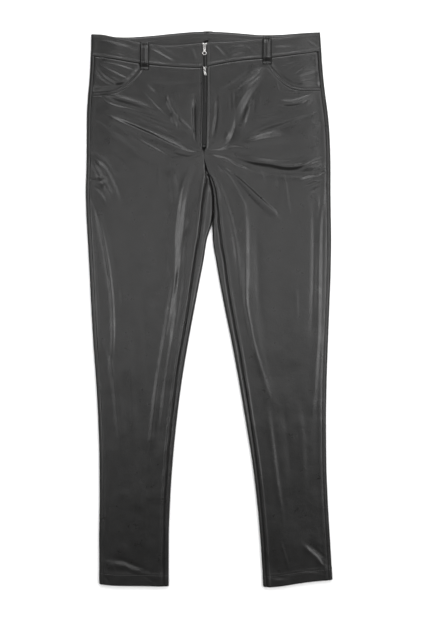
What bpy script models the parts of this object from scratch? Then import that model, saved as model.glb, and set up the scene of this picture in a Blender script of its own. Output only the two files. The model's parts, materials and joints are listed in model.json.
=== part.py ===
"""Skinny trousers in wet-look coated cloth, laid flat with the front side up.

The garment lies on z = 0 with the waist towards +Y, the hems towards -Y and the
front facing +Z. Left and right are the wearer's: +X is the wearer's left.
Every piece is cut from one form: a flattened tube for each leg that opens into
the hips. The form is worked out from short tables of widths and levels, in
millimetres, and each cloth piece is a grid laid on it and thickened inwards.
"""

import math
from collections import namedtuple

import bmesh
import bpy
from mathutils import Vector

MM = 0.001

# ---------------------------------------------------------------- sizes, in mm
CLOTH = 1.2             # coated cloth
BAND_CLOTH = 2.2        # waistband, two layers
HEM_CLOTH = 2.2         # turned hem, two layers
LOOP_CLOTH = 2.4        # belt loops, three layers
SEAM_GAP = 0.3          # between the pieces at a seam
BAND_PROUD = 0.5        # the waistband stands this far above the panels
EDGE_HEIGHT = 9.5       # thickness of the laid garment along its folded edges
EDGE_RADIUS = 5.0       # half width of the rounding along those edges
SIDE_SEAM_IN = 7.5      # side seam, in from the outer edge, on the front side
BACK_SEAM_Y = 483.6     # back waist seam at its middle; it runs straight to the sides
FORK_Y = 258.7          # where the legs part
CROTCH_Y = 290.8        # where the centre seam starts to sink
BACK_CROTCH_Y = 277.0
HIP_Y = 375.7           # below this line the rows of cloth run straight across
HEM_LINE_Y = -470.0     # above this line too
ZIP_HALF_GAP = 3.4      # the opening edges stand this far from the zip's middle
ZIP_TOP_Y = 500.0
ZIP_FOOT_Y = 306.0
TAPE_WIDTH = 28.0
TAPE_CLOTH = 1.0
CHAIN_WIDTH = 5.4
FACING_DROP = 2.0       # pocket facing, below the front's face
FACING_UNDER = 12.0     # it runs this far under the pocket mouth
LOOP_WIDTH = 16.5
LOOP_LENGTH = 51.0
BACK_LOOP_LIFT = 3.1    # the waistband rides this high over the back loop

# --------------------------------------------------------------------- tables
# Outer edges of the laid garment.
Edge = namedtuple("Edge", "y right_out left_out")
OUTER = [
    Edge(527.0, -223.1, 209.7),
    Edge(493.0, -223.8, 212.2),
    Edge(470.0, -224.7, 213.6),
    Edge(447.5, -225.8, 215.4),
    Edge(424.8, -227.5, 217.6),
    Edge(402.0, -229.5, 220.4),
    Edge(375.7, -231.2, 224.0),
    Edge(347.4, -231.8, 226.9),
    Edge(319.0, -231.9, 228.6),
    Edge(290.8, -232.1, 229.5),
    Edge(258.7, -232.7, 229.9),
    Edge(224.7, -233.7, 229.9),
    Edge(186.9, -232.8, 230.3),
    Edge(130.3, -229.8, 231.0),
    Edge(73.6, -226.6, 230.2),
    Edge(17.0, -223.9, 228.1),
    Edge(-58.5, -219.6, 225.2),
    Edge(-134.0, -214.2, 222.6),
    Edge(-209.6, -210.0, 221.4),
    Edge(-285.0, -207.8, 221.9),
    Edge(-360.6, -207.4, 224.6),
    Edge(-436.0, -208.3, 229.0),
    Edge(-530.0, -207.7, 234.4),
]

# Inner edges of the legs, and how far in from them the inseams lie on top.
Inner = namedtuple("Inner", "y edge seam")
LEFT_LEG = [
    Inner(258.7, -4.5, 0.0),
    Inner(243.6, 2.3, 2.5),
    Inner(224.7, 6.6, 4.0),
    Inner(205.8, 7.9, 5.5),
    Inner(186.9, 7.9, 8.0),
    Inner(164.3, 5.6, 12.0),
    Inner(130.3, 6.6, 15.5),
    Inner(92.5, 12.6, 15.8),
    Inner(54.8, 19.1, 14.0),
    Inner(17.0, 26.2, 12.4),
    Inner(-58.5, 41.5, 11.0),
    Inner(-134.0, 55.5, 9.8),
    Inner(-209.6, 68.3, 8.6),
    Inner(-285.0, 80.6, 7.7),
    Inner(-360.6, 90.0, 7.0),
    Inner(-436.0, 96.8, 6.4),
    Inner(-530.0, 102.8, 6.0),
]
RIGHT_LEG = [
    Inner(258.7, -4.5, 0.0),
    Inner(243.6, -3.0, 2.8),
    Inner(224.7, 3.2, 11.9),
    Inner(205.8, 5.4, 16.2),
    Inner(186.9, 5.3, 18.2),
    Inner(164.3, 1.3, 17.1),
    Inner(152.9, 0.3, 17.6),
    Inner(130.3, -3.4, 16.8),
    Inner(92.5, -10.2, 16.0),
    Inner(54.8, -17.4, 14.5),
    Inner(17.0, -24.5, 13.0),
    Inner(-58.5, -38.5, 11.0),
    Inner(-134.0, -51.0, 10.4),
    Inner(-209.6, -60.8, 10.1),
    Inner(-285.0, -68.2, 9.8),
    Inner(-360.6, -73.2, 9.5),
    Inner(-436.0, -75.8, 9.2),
    Inner(-530.0, -76.1, 9.2),
]
LEG = {"left": LEFT_LEG, "right": RIGHT_LEG}

# Waist lines across the front, and the back's top edge.
Waist = namedtuple("Waist", "x front_top seam back_top")
WAIST = [
    Waist(-235.0, 519.2, 478.4, 519.2),
    Waist(-206.0, 518.0, 475.8, 519.0),
    Waist(-181.4, 513.2, 471.7, 514.8),
    Waist(-155.0, 507.9, 467.1, 514.2),
    Waist(-130.5, 502.2, 463.1, 515.4),
    Waist(-102.1, 498.6, 459.8, 517.6),
    Waist(-73.8, 497.2, 457.5, 520.4),
    Waist(-45.5, 499.2, 455.9, 522.9),
    Waist(-21.0, 501.6, 455.2, 524.1),
    Waist(-9.1, 502.8, 456.6, 524.2),
    Waist(11.1, 503.9, 460.6, 524.0),
    Waist(39.5, 504.8, 465.8, 522.9),
    Waist(67.8, 506.9, 469.5, 520.9),
    Waist(99.9, 509.8, 472.4, 518.6),
    Waist(126.3, 511.6, 475.2, 518.7),
    Waist(156.5, 515.2, 479.0, 520.6),
    Waist(182.9, 519.2, 482.8, 522.6),
    Waist(225.0, 523.8, 488.6, 524.4),
]

# Pocket mouths, from the side seam to the waist seam.
Mouth = namedtuple("Mouth", "x y")
RIGHT_POCKET = [
    Mouth(-240.0, 409.6), Mouth(-221.8, 408.6), Mouth(-202.2, 409.2),
    Mouth(-180.3, 412.6), Mouth(-162.2, 421.0), Mouth(-147.8, 433.0),
    Mouth(-136.9, 444.8), Mouth(-124.0, 463.0),
]
LEFT_POCKET = [
    Mouth(109.0, 472.5), Mouth(116.1, 460.0), Mouth(129.7, 443.0),
    Mouth(145.0, 428.4), Mouth(158.4, 420.8), Mouth(175.8, 417.6),
    Mouth(195.0, 417.6), Mouth(230.0, 420.6),
]

# Bottom edges of the hems.
RIGHT_HEM = [
    Mouth(-212.0, -519.4), Mouth(-175.8, -522.8), Mouth(-121.0, -523.4),
    Mouth(-96.5, -524.2), Mouth(-70.0, -523.8),
]
LEFT_HEM = [
    Mouth(98.0, -524.6), Mouth(115.0, -525.6), Mouth(133.9, -524.0),
    Mouth(162.2, -519.6), Mouth(190.5, -515.6), Mouth(238.0, -511.4),
]

# Centre lines, and the height of the laid garment along it.
Middle = namedtuple("Middle", "y front back")
CENTRE = [
    Middle(527.0, -9.1, -1.1),
    Middle(441.8, -8.2, -2.4),
    Middle(394.6, -7.8, -3.6),
    Middle(347.4, -8.6, -5.0),
    Middle(304.0, -9.8, -6.2),
    Middle(290.8, -10.2, -6.2),
    Middle(275.6, -7.9, -5.4),
    Middle(258.7, -4.5, -4.5),
]
Level = namedtuple("Level", "y height")
HEIGHTS = [
    Level(527.0, 12.2),
    Level(400.0, 12.4),
    Level(258.7, 11.6),
    Level(130.0, 10.8),
    Level(0.0, 10.4),
    Level(-300.0, 10.0),
    Level(-530.0, 10.2),
]

# The largest folds of the front: from one end to the other, how far the middle
# bows to the left of that line, half width, and rise (troughs are negative).
Fold = namedtuple("Fold", "name x0 y0 x1 y1 bow half_width rise")
FOLDS = [
    Fold("right hip, long ridge", -178, 361, -32, 296, 0, 10, 2.4),
    Fold("right hip, trough above it", -189, 398, -42, 338, -3, 12, -1.6),
    Fold("right hip, slope below it", -166, 342, -74, 285, 0, 12, 0.9),
    Fold("right hip, pin crease", -78, 398, -57, 356, 3, 8, 1.2),
    Fold("right dent at the side", -226, 244, -196, 243, 0, 9, -1.6),
    Fold("right thigh, ridge from the dent", -214, 281, -172, 203, 4, 10, 1.5),
    Fold("right thigh, outer ridge", -221, 213, -183, 40, 8, 9, 1.3),
    Fold("right knee, outer ridge", -190, -60, -160, -276, 4, 9, 1.0),
    Fold("right thigh, inner ridge", -60, 219, -67, 36, -4, 10, 1.5),
    Fold("right leg, inner ridge", -68, 36, -108, -250, 6, 10, 1.2),
    Fold("right thigh, inner trough", -30, 225, -55, 130, 4, 10, -1.4),
    Fold("left hip, fold from the loop", 94, 450, 49, 372, -8, 9, 1.9),
    Fold("left hip, arc to the fork", 50, 356, 10, 303, 12, 8, -1.5),
    Fold("left hip, under the pocket", 138, 394, 192, 402, -4, 9, 1.3),
    Fold("left hip, ridge across", 60, 318, 150, 330, 4, 11, 1.3),
    Fold("left hip, trough across", 75, 274, 222, 266, -8, 10, -2.0),
    Fold("left thigh, ridge from the fork", 8, 290, 72, 262, 0, 8, 1.5),
    Fold("left thigh, diagonal ridge", 30, 270, 134, 174, 0, 9, 1.8),
    Fold("left thigh, inner ridge", 18, 276, 66, 200, 4, 8, 1.6),
    Fold("left thigh, long ridge", 66, 205, 72, 10, 0, 10, 1.8),
    Fold("left leg, long ridge", 74, 17, 116, -170, 0, 10, 1.2),
    Fold("left leg, outer ridge", 211, 128, 198, -190, 4, 9, 0.9),
    Fold("left ankle, slanting ridge", 180, -443, 226, -486, 0, 9, 1.2),
    Fold("fly, right edge", -29, 398, -28, 315, 0, 8, -1.1),
    Fold("fly, raised middle", -9, 412, -9, 305, 0, 12, 0.9),
]

# Belt loops: middle, top end, and what they stand on.
BeltLoop = namedtuple("BeltLoop", "name x top_y")
FRONT_LOOPS = [
    BeltLoop("belt_loop_front_right", -121.5, 503.0),
    BeltLoop("belt_loop_front_left", 109.2, 513.6),
]
# Side view of a loop: along it from its foot, and its clearance off the cloth.
Arch = namedtuple("Arch", "along clear")
LOOP_ARCH = [
    Arch(0.0, 0.4), Arch(3.5, 0.6), Arch(8.0, 3.0), Arch(13.5, 4.7),
    Arch(37.0, 4.8), Arch(43.5, 3.8), Arch(48.5, 2.0), Arch(51.0, 1.0),
]

# Zip sliders and their pull tabs: widths and lengths in mm.
Slider = namedtuple("Slider", "name y_top y_low width shoulder hinge_y")
SLIDERS = [
    Slider("zip_slider_upper", 501.6, 489.0, 9.0, 6.6, 492.4),
    Slider("zip_slider_lower", 457.2, 448.4, 6.4, 5.2, 450.6),
]
SLIDER_THICK = 2.2
SLIDER_CLEAR = 0.8      # over the panels, so that it clears the waistband
BAIL_RADIUS = 1.9
BAIL_WIRE = 0.5
BAIL_POST = 0.8
HINGE_UP = 1.3          # pull tab's hinge line, over the slider
PULL_THICK = 1.0
PULL_TILT = 7.0         # degrees, the tab's free end hangs

BLACK = (0.012, 0.012, 0.013, 1.0)


# ------------------------------------------------------------------- the form
def along(table, key, at, by="y"):
    """A named column of a table at a level, by a smooth curve that never
    overshoots its rows."""
    rows = sorted(table, key=lambda r: getattr(r, by))
    xs = [getattr(r, by) for r in rows]
    vs = [getattr(r, key) for r in rows]
    if at <= xs[0]:
        return vs[0]
    if at >= xs[-1]:
        return vs[-1]
    i = max(k for k in range(len(xs)) if xs[k] <= at)
    steps = [(vs[k + 1] - vs[k]) / (xs[k + 1] - xs[k]) for k in range(len(xs) - 1)]

    def slope(k):
        if k == 0:
            return steps[0]
        if k == len(xs) - 1:
            return steps[-1]
        a, b = steps[k - 1], steps[k]
        return 0.0 if a * b <= 0 else 2 * a * b / (a + b)

    h = xs[i + 1] - xs[i]
    t = (at - xs[i]) / h
    return (vs[i] * (2 * t**3 - 3 * t**2 + 1) + slope(i) * h * (t**3 - 2 * t**2 + t)
            + vs[i + 1] * (3 * t**2 - 2 * t**3) + slope(i + 1) * h * (t**3 - t**2))


def ease(t):
    t = min(1.0, max(0.0, t))
    return t * t * (3 - 2 * t)


def side_name(side):
    return "left" if side > 0 else "right"


def outer_x(side, y):
    return along(OUTER, side_name(side) + "_out", y)


def inner_x(side, y, back=False):
    """Inner edge of one half: the centre line above the fork, the leg's inner
    edge below it."""
    if y >= FORK_Y:
        return along(CENTRE, "back" if back else "front", y) + side * SEAM_GAP / 2
    return along(LEG[side_name(side)], "edge", y) + side * SEAM_GAP / 2


def inseam_in(side, y):
    return 0.0 if y >= FORK_Y else along(LEG[side_name(side)], "seam", y)


def folds(x, y):
    total = 0.0
    for f in FOLDS:
        dx, dy = f.x1 - f.x0, f.y1 - f.y0
        length = math.hypot(dx, dy)
        t = ((x - f.x0) * dx + (y - f.y0) * dy) / length**2
        if not -0.2 < t < 1.2:
            continue
        off = ((y - f.y0) * dx - (x - f.x0) * dy) / length - f.bow * 4 * t * (1 - t)
        if abs(off) > 3 * f.half_width:
            continue
        fade = ease((t + 0.15) / 0.4) * ease((1.15 - t) / 0.4)
        total += f.rise * math.exp(-((off / f.half_width) ** 2)) * fade
    return total


def top_z(side, x, y):
    """Height of the front's face, clear of the rounding at the inner edge."""
    out = abs(outer_x(side, y) - x)
    legs = ease((FORK_Y + 40 - y) / 60)
    inn = abs(x - inner_x(side, y))
    inside = (1 - legs) + legs * ease(inn / 50)
    crown = along(HEIGHTS, "height", y) - EDGE_HEIGHT
    hold = ease((out - 7) / 18) * ((1 - legs) + legs * ease((inn - inseam_in(side, y) - 1) / 12))
    return EDGE_HEIGHT + crown * ease(out / 50) * inside + folds(x, y) * hold


def sink(y, start, full):
    """How far the centre seam has sunk from a face, on its way to the fork."""
    return 0.0 if y >= start else full * ease((start - y) / (start - FORK_Y)) ** 0.8


def back_lift(x, y):
    """The underside rises over the belt loop at the centre back."""
    off = abs(x - along(CENTRE, "back", y))
    return BACK_LOOP_LIFT * ease((24 - off) / 13) * ease((y - 438) / 26)


Spot = namedtuple("Spot", "x z turn")


class Ring:
    """Section of one half of the garment at a level. It runs from the inner
    edge over the front's face, round the outer edge and back underneath. turn
    is 0 on the front's face, 1 underneath, and between them round the edge."""

    def __init__(self, side, y):
        self.side, self.y = side, y
        x_out = outer_x(side, y)
        x_in, x_back = inner_x(side, y), inner_x(side, y, back=True)
        r = EDGE_RADIUS
        spots = []
        mid = top_z(side, x_in + side * r, y) / 2
        drop = sink(y, CROTCH_Y, mid) if y > FORK_Y else mid
        rise = sink(y, BACK_CROTCH_Y, mid) if y > FORK_Y else mid
        for k in range(9):
            a = math.pi / 2 * k / 8
            x = x_in + side * r * (1 - math.cos(a))
            spots.append(Spot(x, top_z(side, x, y) - drop * (1 - math.sin(a)), 0.0))
        self.top_in = len(spots) - 1
        span = (x_out - side * r) - (x_in + side * r)
        for k in range(1, 81):
            x = x_in + side * r + span * k / 80
            spots.append(Spot(x, top_z(side, x, y), 0.0))
        self.top_out = len(spots) - 1
        half = spots[-1].z / 2
        for k in range(1, 17):
            a = math.pi * k / 16
            spots.append(Spot(x_out - side * r * (1 - math.sin(a)), half * (1 + math.cos(a)), k / 16))
        self.low_out = len(spots) - 1
        span = (x_back + side * r) - (x_out - side * r)
        for k in range(1, 61):
            x = x_out - side * r + span * k / 60
            spots.append(Spot(x, back_lift(x, y), 1.0))
        self.low_in = len(spots) - 1
        for k in range(1, 9):
            a = math.pi / 2 * k / 8
            x = x_back + side * r * (1 - math.sin(a))
            spots.append(Spot(x, rise * (1 - math.cos(a)) + back_lift(x, y), 1.0))
        self.end = len(spots) - 1
        self.spots = spots
        self.arc = [0.0]
        for a, b in zip(spots, spots[1:]):
            self.arc.append(self.arc[-1] + math.hypot(b.x - a.x, b.z - a.z))

    def at(self, s):
        """The spot at an arc length; past the end it goes on over the top."""
        whole = self.arc[-1]
        if s > whole:
            spot = self.at(s - whole)
            return Spot(spot.x, spot.z, 2.0)
        i = min(len(self.arc) - 2, max(k for k in range(len(self.arc)) if self.arc[k] <= max(s, 0)))
        step = self.arc[i + 1] - self.arc[i]
        t = 0 if step == 0 else (s - self.arc[i]) / step
        a, b = self.spots[i], self.spots[i + 1]
        return Spot(a.x + (b.x - a.x) * t, a.z + (b.z - a.z) * t, a.turn + (b.turn - a.turn) * t)

    def side_seam(self):
        return self.arc[self.top_out] - (SIDE_SEAM_IN - EDGE_RADIUS)

    def inseam_gap(self):
        """Half the gap at the inseam, wider where it lies on the rounding,
        because there the inner faces of the cloth lean together."""
        d = inseam_in(self.side, self.y)
        return SEAM_GAP / 2 + 0.35 * ease((EDGE_RADIUS + 2.5 - d) / 3)

    def inseam(self):
        """Arc length from the inner edge's middle to the inseam."""
        d = inseam_in(self.side, self.y)
        quarter = self.arc[self.top_in]
        if d >= EDGE_RADIUS:
            return quarter + d - EDGE_RADIUS
        return quarter * math.acos(1 - d / EDGE_RADIUS) / (math.pi / 2)


def pocket_y(side, x):
    return along(LEFT_POCKET if side > 0 else RIGHT_POCKET, "y", x, by="x")


def waist_y(x, key):
    return along(WAIST, key, x, by="x")


def front_top_y(side, x):
    """Where the front panel ends: the waist seam, or the pocket's mouth."""
    seam = waist_y(x, "seam")
    if side > 0 and x > LEFT_POCKET[0].x or side < 0 and x < RIGHT_POCKET[-1].x:
        return min(seam, pocket_y(side, x)) - SEAM_GAP / 2
    return seam - SEAM_GAP / 2


def hem_y(side, x):
    return along(LEFT_HEM if side > 0 else RIGHT_HEM, "y", x, by="x")


def spread(first, last, near_first, near_last, between):
    """Arc lengths from first to last: set distances near the ends, even steps
    between them."""
    head = [first + d for d in near_first]
    tail = [last - d for d in near_last]
    step = (tail[0] - head[-1]) / between
    return head + [head[-1] + step * k for k in range(1, between)] + tail


# ------------------------------------------------------------ making meshes
def scene_start():
    for obj in list(bpy.data.objects):
        bpy.data.objects.remove(obj, do_unlink=True)
    for block in (bpy.data.meshes, bpy.data.curves, bpy.data.materials):
        for item in list(block):
            block.remove(item)
    whole = bpy.data.collections.new("wet_look_skinny_trousers")
    bpy.context.scene.collection.children.link(whole)
    return whole


def material(name, colour, roughness, metallic=0.0):
    mat = bpy.data.materials.new(name)
    mat.use_nodes = True
    shader = mat.node_tree.nodes["Principled BSDF"]
    shader.inputs["Base Color"].default_value = colour
    shader.inputs["Roughness"].default_value = roughness
    shader.inputs["Metallic"].default_value = metallic
    return mat


def link(obj, mat, whole):
    obj.data.materials.append(mat)
    whole.objects.link(obj)
    return obj


def facing_out(bm, outward):
    """Turns the faces of an open sheet so that they point outwards."""
    bm.normal_update()
    score = sum(f.calc_area() * f.normal.dot(outward(f.calc_center_median())) for f in bm.faces)
    if score < 0:
        bmesh.ops.reverse_faces(bm, faces=bm.faces)


def sheet(name, rows, thickness, outward, mat, whole, thick_rows=None):
    """A grid with one row of points for each row given, thickened inwards.
    thick_rows maps a row to its share of the thickness."""
    across, down = len(rows[0]) - 1, len(rows) - 1
    bm = bmesh.new()
    bmesh.ops.create_grid(bm, x_segments=across, y_segments=down, size=0.5)
    cells = {}
    for vert in bm.verts:
        i = round((vert.co.x + 0.5) * across)
        j = round((vert.co.y + 0.5) * down)
        cells[vert.index] = j
        vert.co = [c * MM for c in rows[j][i]]
    facing_out(bm, outward)
    mesh = bpy.data.meshes.new(name)
    order = [cells[v.index] for v in bm.verts]
    bm.to_mesh(mesh)
    bm.free()
    mesh.shade_smooth()
    obj = bpy.data.objects.new(name, mesh)
    link(obj, mat, whole)
    solid = obj.modifiers.new("cloth thickness", "SOLIDIFY")
    solid.thickness = thickness * MM
    solid.offset = -1.0
    if thick_rows:
        group = obj.vertex_groups.new(name="layers")
        for index, j in enumerate(order):
            group.add([index], thick_rows[j], "REPLACE")
        solid.vertex_group = group.name
    return obj


def up(_):
    return Vector((0, 0, 1))


def from_middle(side):
    """Points away from the middle of one half's hollow."""

    def outward(p):
        y = p.y / MM
        x = (outer_x(side, y) + inner_x(side, y)) / 2 * MM
        half = abs(outer_x(side, y) - inner_x(side, y)) / 2 * MM
        return Vector(((p.x - x) * 0.02 / half, 0, p.z - 0.005))
    return outward


# ------------------------------------------------------------------ the cloth
# Levels of the rows of cloth below the hip line, closest where the legs part.
ROW_LEVELS = [375.7, 358, 341, 325, 308, 291, 280, 269, 258.7, 246, 228, 206, 180,
              149, 111, 64, 8, -68, -153, -247, -342, -417, -470]
UPPER_PARTS = [1.0, 0.75, 0.5, 0.25]     # of the way from the hip line to the top
HEM_PARTS = [0.55, 1.0]                  # of the way from the hem line down


def leg_rows():
    """(kind, value) for each row, from the waist down."""
    return ([("upper", f) for f in UPPER_PARTS] + [("level", y) for y in ROW_LEVELS]
            + [("hem", f) for f in HEM_PARTS])


def row_level(kind, value, reach, hem):
    """The level of a row at one place across, where reach is the top there."""
    if kind == "upper":
        return HIP_Y + value * (reach - HIP_Y)
    if kind == "hem":
        return HEM_LINE_Y + value * (hem - HEM_LINE_Y)
    return value


def layers():
    turned = CLOTH / HEM_CLOTH
    return [1.0 if kind == "hem" else turned for kind, _ in leg_rows()]


def rescale(side, spot, y_from, y_to):
    """Moves a spot's height from one level of the form to another."""
    if y_from == y_to or spot.z <= 0:
        return spot.z
    edge = outer_x(side, y_from) - side * EDGE_RADIUS
    x = min(spot.x, edge) if side > 0 else max(spot.x, edge)
    if spot.turn >= 1:
        return spot.z - back_lift(spot.x, y_from) + back_lift(spot.x, y_to)
    return spot.z * top_z(side, x, y_to) / top_z(side, x, y_from)


def front_panel(side, mat, whole):
    rows = []
    for kind, value in leg_rows():
        x_edge = outer_x(side, HIP_Y if kind == "upper" else value if kind == "level" else HEM_LINE_Y)
        nominal = row_level(kind, value, front_top_y(side, x_edge), hem_y(side, x_edge))
        ring = Ring(side, nominal)
        first = ring.inseam()
        if nominal > FORK_Y:
            gap = ZIP_HALF_GAP * ease((nominal - 294) / 12)
            first = max(0.0, gap - SEAM_GAP / 2)
        first += ring.inseam_gap() if nominal <= FORK_Y else 0.0
        row = []
        for s in spread(first, ring.side_seam(), (0, 1.0, 3.2, 6.5), (3.0, 0.0), 13):
            spot = ring.at(s)
            y = row_level(kind, value, front_top_y(side, spot.x), hem_y(side, spot.x))
            row.append((spot.x, y, rescale(side, spot, nominal, y)))
        rows.append(row)
    return sheet("front_" + side_name(side), rows, HEM_CLOTH, up, mat, whole, layers())


def seam_level(side, spot, key):
    """Level of a waist line at a spot: the front's on top, the back's below."""
    front = waist_y(spot.x, key)
    if key == "seam":
        middle = along(CENTRE, "back", 500)
        side_x = outer_x(side, 480) - side * EDGE_RADIUS
        share = (spot.x - middle) / (side_x - middle)
        back = BACK_SEAM_Y + (waist_y(side_x, "seam") - BACK_SEAM_Y) * share
    else:
        back = waist_y(spot.x, "back_top")
    return front + (back - front) * min(1.0, spot.turn)


def back_panel(side, mat, whole):
    rows = []
    for kind, value in leg_rows():
        x_edge = outer_x(side, value if kind == "level" else 470 if kind == "upper" else HEM_LINE_Y)
        edge = Spot(x_edge, 0, 0.5)
        nominal = row_level(kind, value, seam_level(side, edge, "seam") - SEAM_GAP / 2, hem_y(side, x_edge))
        ring = Ring(side, nominal)
        last = ring.arc[-1] + ring.inseam() - (ring.inseam_gap() if nominal <= FORK_Y else 0.0)
        # Close columns from the seam to where the underside lies flat.
        reach_in = last - ring.arc[ring.low_in] + 20.0 * ease((nominal - 380) / 50)
        inner = [1.0 + (reach_in - 1.0) * k / 6 for k in range(6, -1, -1)]
        row = []
        for s in spread(ring.side_seam() + SEAM_GAP, last, (0, 2.5, 6.4, 10.3, 14.1, 18.0),
                        inner + [0.0], 2):
            spot = ring.at(s)
            reach = seam_level(side, spot, "seam") - SEAM_GAP / 2
            y = row_level(kind, value, reach, hem_y(side, spot.x))
            row.append((spot.x, y, rescale(side, spot, nominal, y)))
        rows.append(row)
    return sheet("back_" + side_name(side), rows, HEM_CLOTH, from_middle(side), mat, whole, layers())


def pocket_facing(side, mat, whole):
    """The pocket's back layer, which shows above the mouth."""
    end = LEFT_POCKET[0].x if side > 0 else RIGHT_POCKET[-1].x
    rows = []
    for v in (1.0, 0.72, 0.46, 0.22, 0.0):
        row = []
        for u in (0.0, 0.1, 0.22, 0.36, 0.5, 0.64, 0.78, 0.9, 1.0):
            reach = waist_y(end - side * 4, "seam") - SEAM_GAP / 2
            x_in = end - side * 4
            guess = 440.0
            for _ in range(3):      # the side seam's x depends on the level
                x_side = outer_x(side, guess) - side * (SIDE_SEAM_IN + SEAM_GAP)
                x = x_in + (x_side - x_in) * u
                reach = waist_y(x, "seam") - SEAM_GAP / 2
                foot = min(pocket_y(side, x), reach) - FACING_UNDER
                y = foot + (reach - foot) * v
                guess = y
            below = ease((pocket_y(side, x) + 12 - y) / 10)
            drop = 0.3 + (FACING_DROP - 0.3) * max(below, ease((x_in + side * 14 - x) * side / 10))
            row.append((x, y, top_z(side, x, y) - drop))
        rows.append(row)
    return sheet("pocket_facing_" + side_name(side), rows, CLOTH, up, mat, whole)


def waistband(side, mat, whole):
    """One half of the waistband, from the zip round the side to the centre
    back."""
    ring = Ring(side, 497.0)
    first = ZIP_HALF_GAP - SEAM_GAP / 2
    a, b, c = ring.side_seam(), ring.arc[ring.low_out], ring.arc[-1]
    stations = spread(first, a, (0,), (0.0,), 13)
    stations += [a + 2.5, a + 6.4, a + 10.3, a + 14.1, b]
    stations += spread(b, c, (0,), (24, 18, 11, 0.0), 3)[1:]
    rows = []
    for v in (1.0, 0.5, 0.0):
        row = []
        for s in stations:
            spot = ring.at(s)
            low = seam_level(side, spot, "seam") + SEAM_GAP / 2
            high = seam_level(side, spot, "front_top")
            y = low + (high - low) * v
            x = spot.x + (outer_x(side, y) - outer_x(side, 497.0)) * ease(1 - abs(outer_x(side, 497.0) - spot.x) / 40)
            proud = BAND_PROUD * (1 - ease(spot.turn * 2))
            row.append((x, y, rescale(side, spot, 497.0, y) + proud))
        rows.append(row)
    return sheet("waistband_" + side_name(side), rows, BAND_CLOTH, from_middle(side), mat, whole)


def front_loop(loop, mat, whole):
    """A folded strip that stands off the waistband so that a belt passes."""
    side = 1 if loop.x > 0 else -1
    rows = []
    for arch in LOOP_ARCH:
        y = loop.top_y - LOOP_LENGTH + arch.along
        base = max(top_z(side, loop.x + dx, y) for dx in (-LOOP_WIDTH / 2, 0, LOOP_WIDTH / 2))
        if y > waist_y(loop.x, "seam") - 2:
            base += BAND_PROUD
        z = base + arch.clear + LOOP_CLOTH
        rows.append([(loop.x + dx, y, z) for dx in (-LOOP_WIDTH / 2, 0, LOOP_WIDTH / 2)])
    return sheet(loop.name, rows[::-1], LOOP_CLOTH, up, mat, whole)


def back_loop(mat, whole):
    """The loop at the centre back lies flat under the waistband."""
    x = along(CENTRE, "back", 500)
    rows = []
    for along_y in (0, 12, 38, LOOP_LENGTH):
        y = 525.6 - LOOP_LENGTH + along_y
        rows.append([(x + dx, y, LOOP_CLOTH) for dx in (-LOOP_WIDTH / 2, LOOP_WIDTH / 2)])
    return sheet("belt_loop_back", rows[::-1], LOOP_CLOTH, up, mat, whole)


# -------------------------------------------------------------------- the zip
def zip_level(y):
    """Height of the front's face beside the zip."""
    x = along(CENTRE, "front", y)
    return min(top_z(-1, x - ZIP_HALF_GAP, y), top_z(1, x + ZIP_HALF_GAP, y))


def zip_strip(name, width, parts, top, thickness, y_high, y_low, mat, whole):
    count = 13
    rows = []
    for k in range(count):
        y = y_high + (y_low - y_high) * k / (count - 1)
        x = along(CENTRE, "front", y)
        row = []
        for p in range(parts + 1):
            dx = width * (p / parts - 0.5)
            side = 1 if dx > 0 else -1
            row.append((x + dx, y, min(zip_level(y), top_z(side, x + dx, y)) + top))
        rows.append(row)
    return sheet(name, rows, thickness, up, mat, whole)


def flat_plate(name, loops, thickness):
    """A closed plate from flat outlines, the first outside and the rest holes;
    its middle plane is z = 0."""
    curve = bpy.data.curves.new(name, "CURVE")
    curve.dimensions = "2D"
    curve.fill_mode = "BOTH"
    curve.extrude = thickness * MM / 2
    for loop in loops:
        spline = curve.splines.new("POLY")
        spline.points.add(len(loop) - 1)
        for point, (x, y) in zip(spline.points, loop):
            point.co = (x * MM, y * MM, 0, 1)
        spline.use_cyclic_u = True
    return curve_mesh(name, curve)


def wire(name, points, radius):
    curve = bpy.data.curves.new(name, "CURVE")
    curve.dimensions = "3D"
    curve.bevel_depth = radius * MM
    curve.bevel_resolution = 2
    curve.use_fill_caps = True
    spline = curve.splines.new("POLY")
    spline.points.add(len(points) - 1)
    for point, co in zip(spline.points, points):
        point.co = (co[0] * MM, co[1] * MM, co[2] * MM, 1)
    return curve_mesh(name, curve)


def curve_mesh(name, curve):
    """Makes a curve a closed mesh, with its caps welded on."""
    holder = bpy.data.objects.new(name + "_outline", curve)
    bpy.context.scene.collection.objects.link(holder)
    graph = bpy.context.evaluated_depsgraph_get()
    mesh = bpy.data.meshes.new_from_object(holder.evaluated_get(graph))
    bm = bmesh.new()
    bm.from_mesh(mesh)
    bmesh.ops.remove_doubles(bm, verts=bm.verts, dist=0.000005)
    bmesh.ops.recalc_face_normals(bm, faces=bm.faces)
    bm.to_mesh(mesh)
    bm.free()
    mesh.name = name
    mesh.materials.clear()
    bpy.data.objects.remove(holder, do_unlink=True)
    bpy.data.curves.remove(curve)
    return mesh


def oval(x, y, half_x, half_y, count, pointed=0.0):
    """A loop of points round a centre; pointed draws it towards a diamond."""
    loop = []
    for k in range(count):
        a = 2 * math.pi * k / count
        c, s = math.cos(a), math.sin(a)
        shrink = 1 - pointed * (1 - 1 / (abs(c) + abs(s)))
        loop.append((x + half_x * c * shrink, y + half_y * s * shrink))
    return loop


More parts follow.
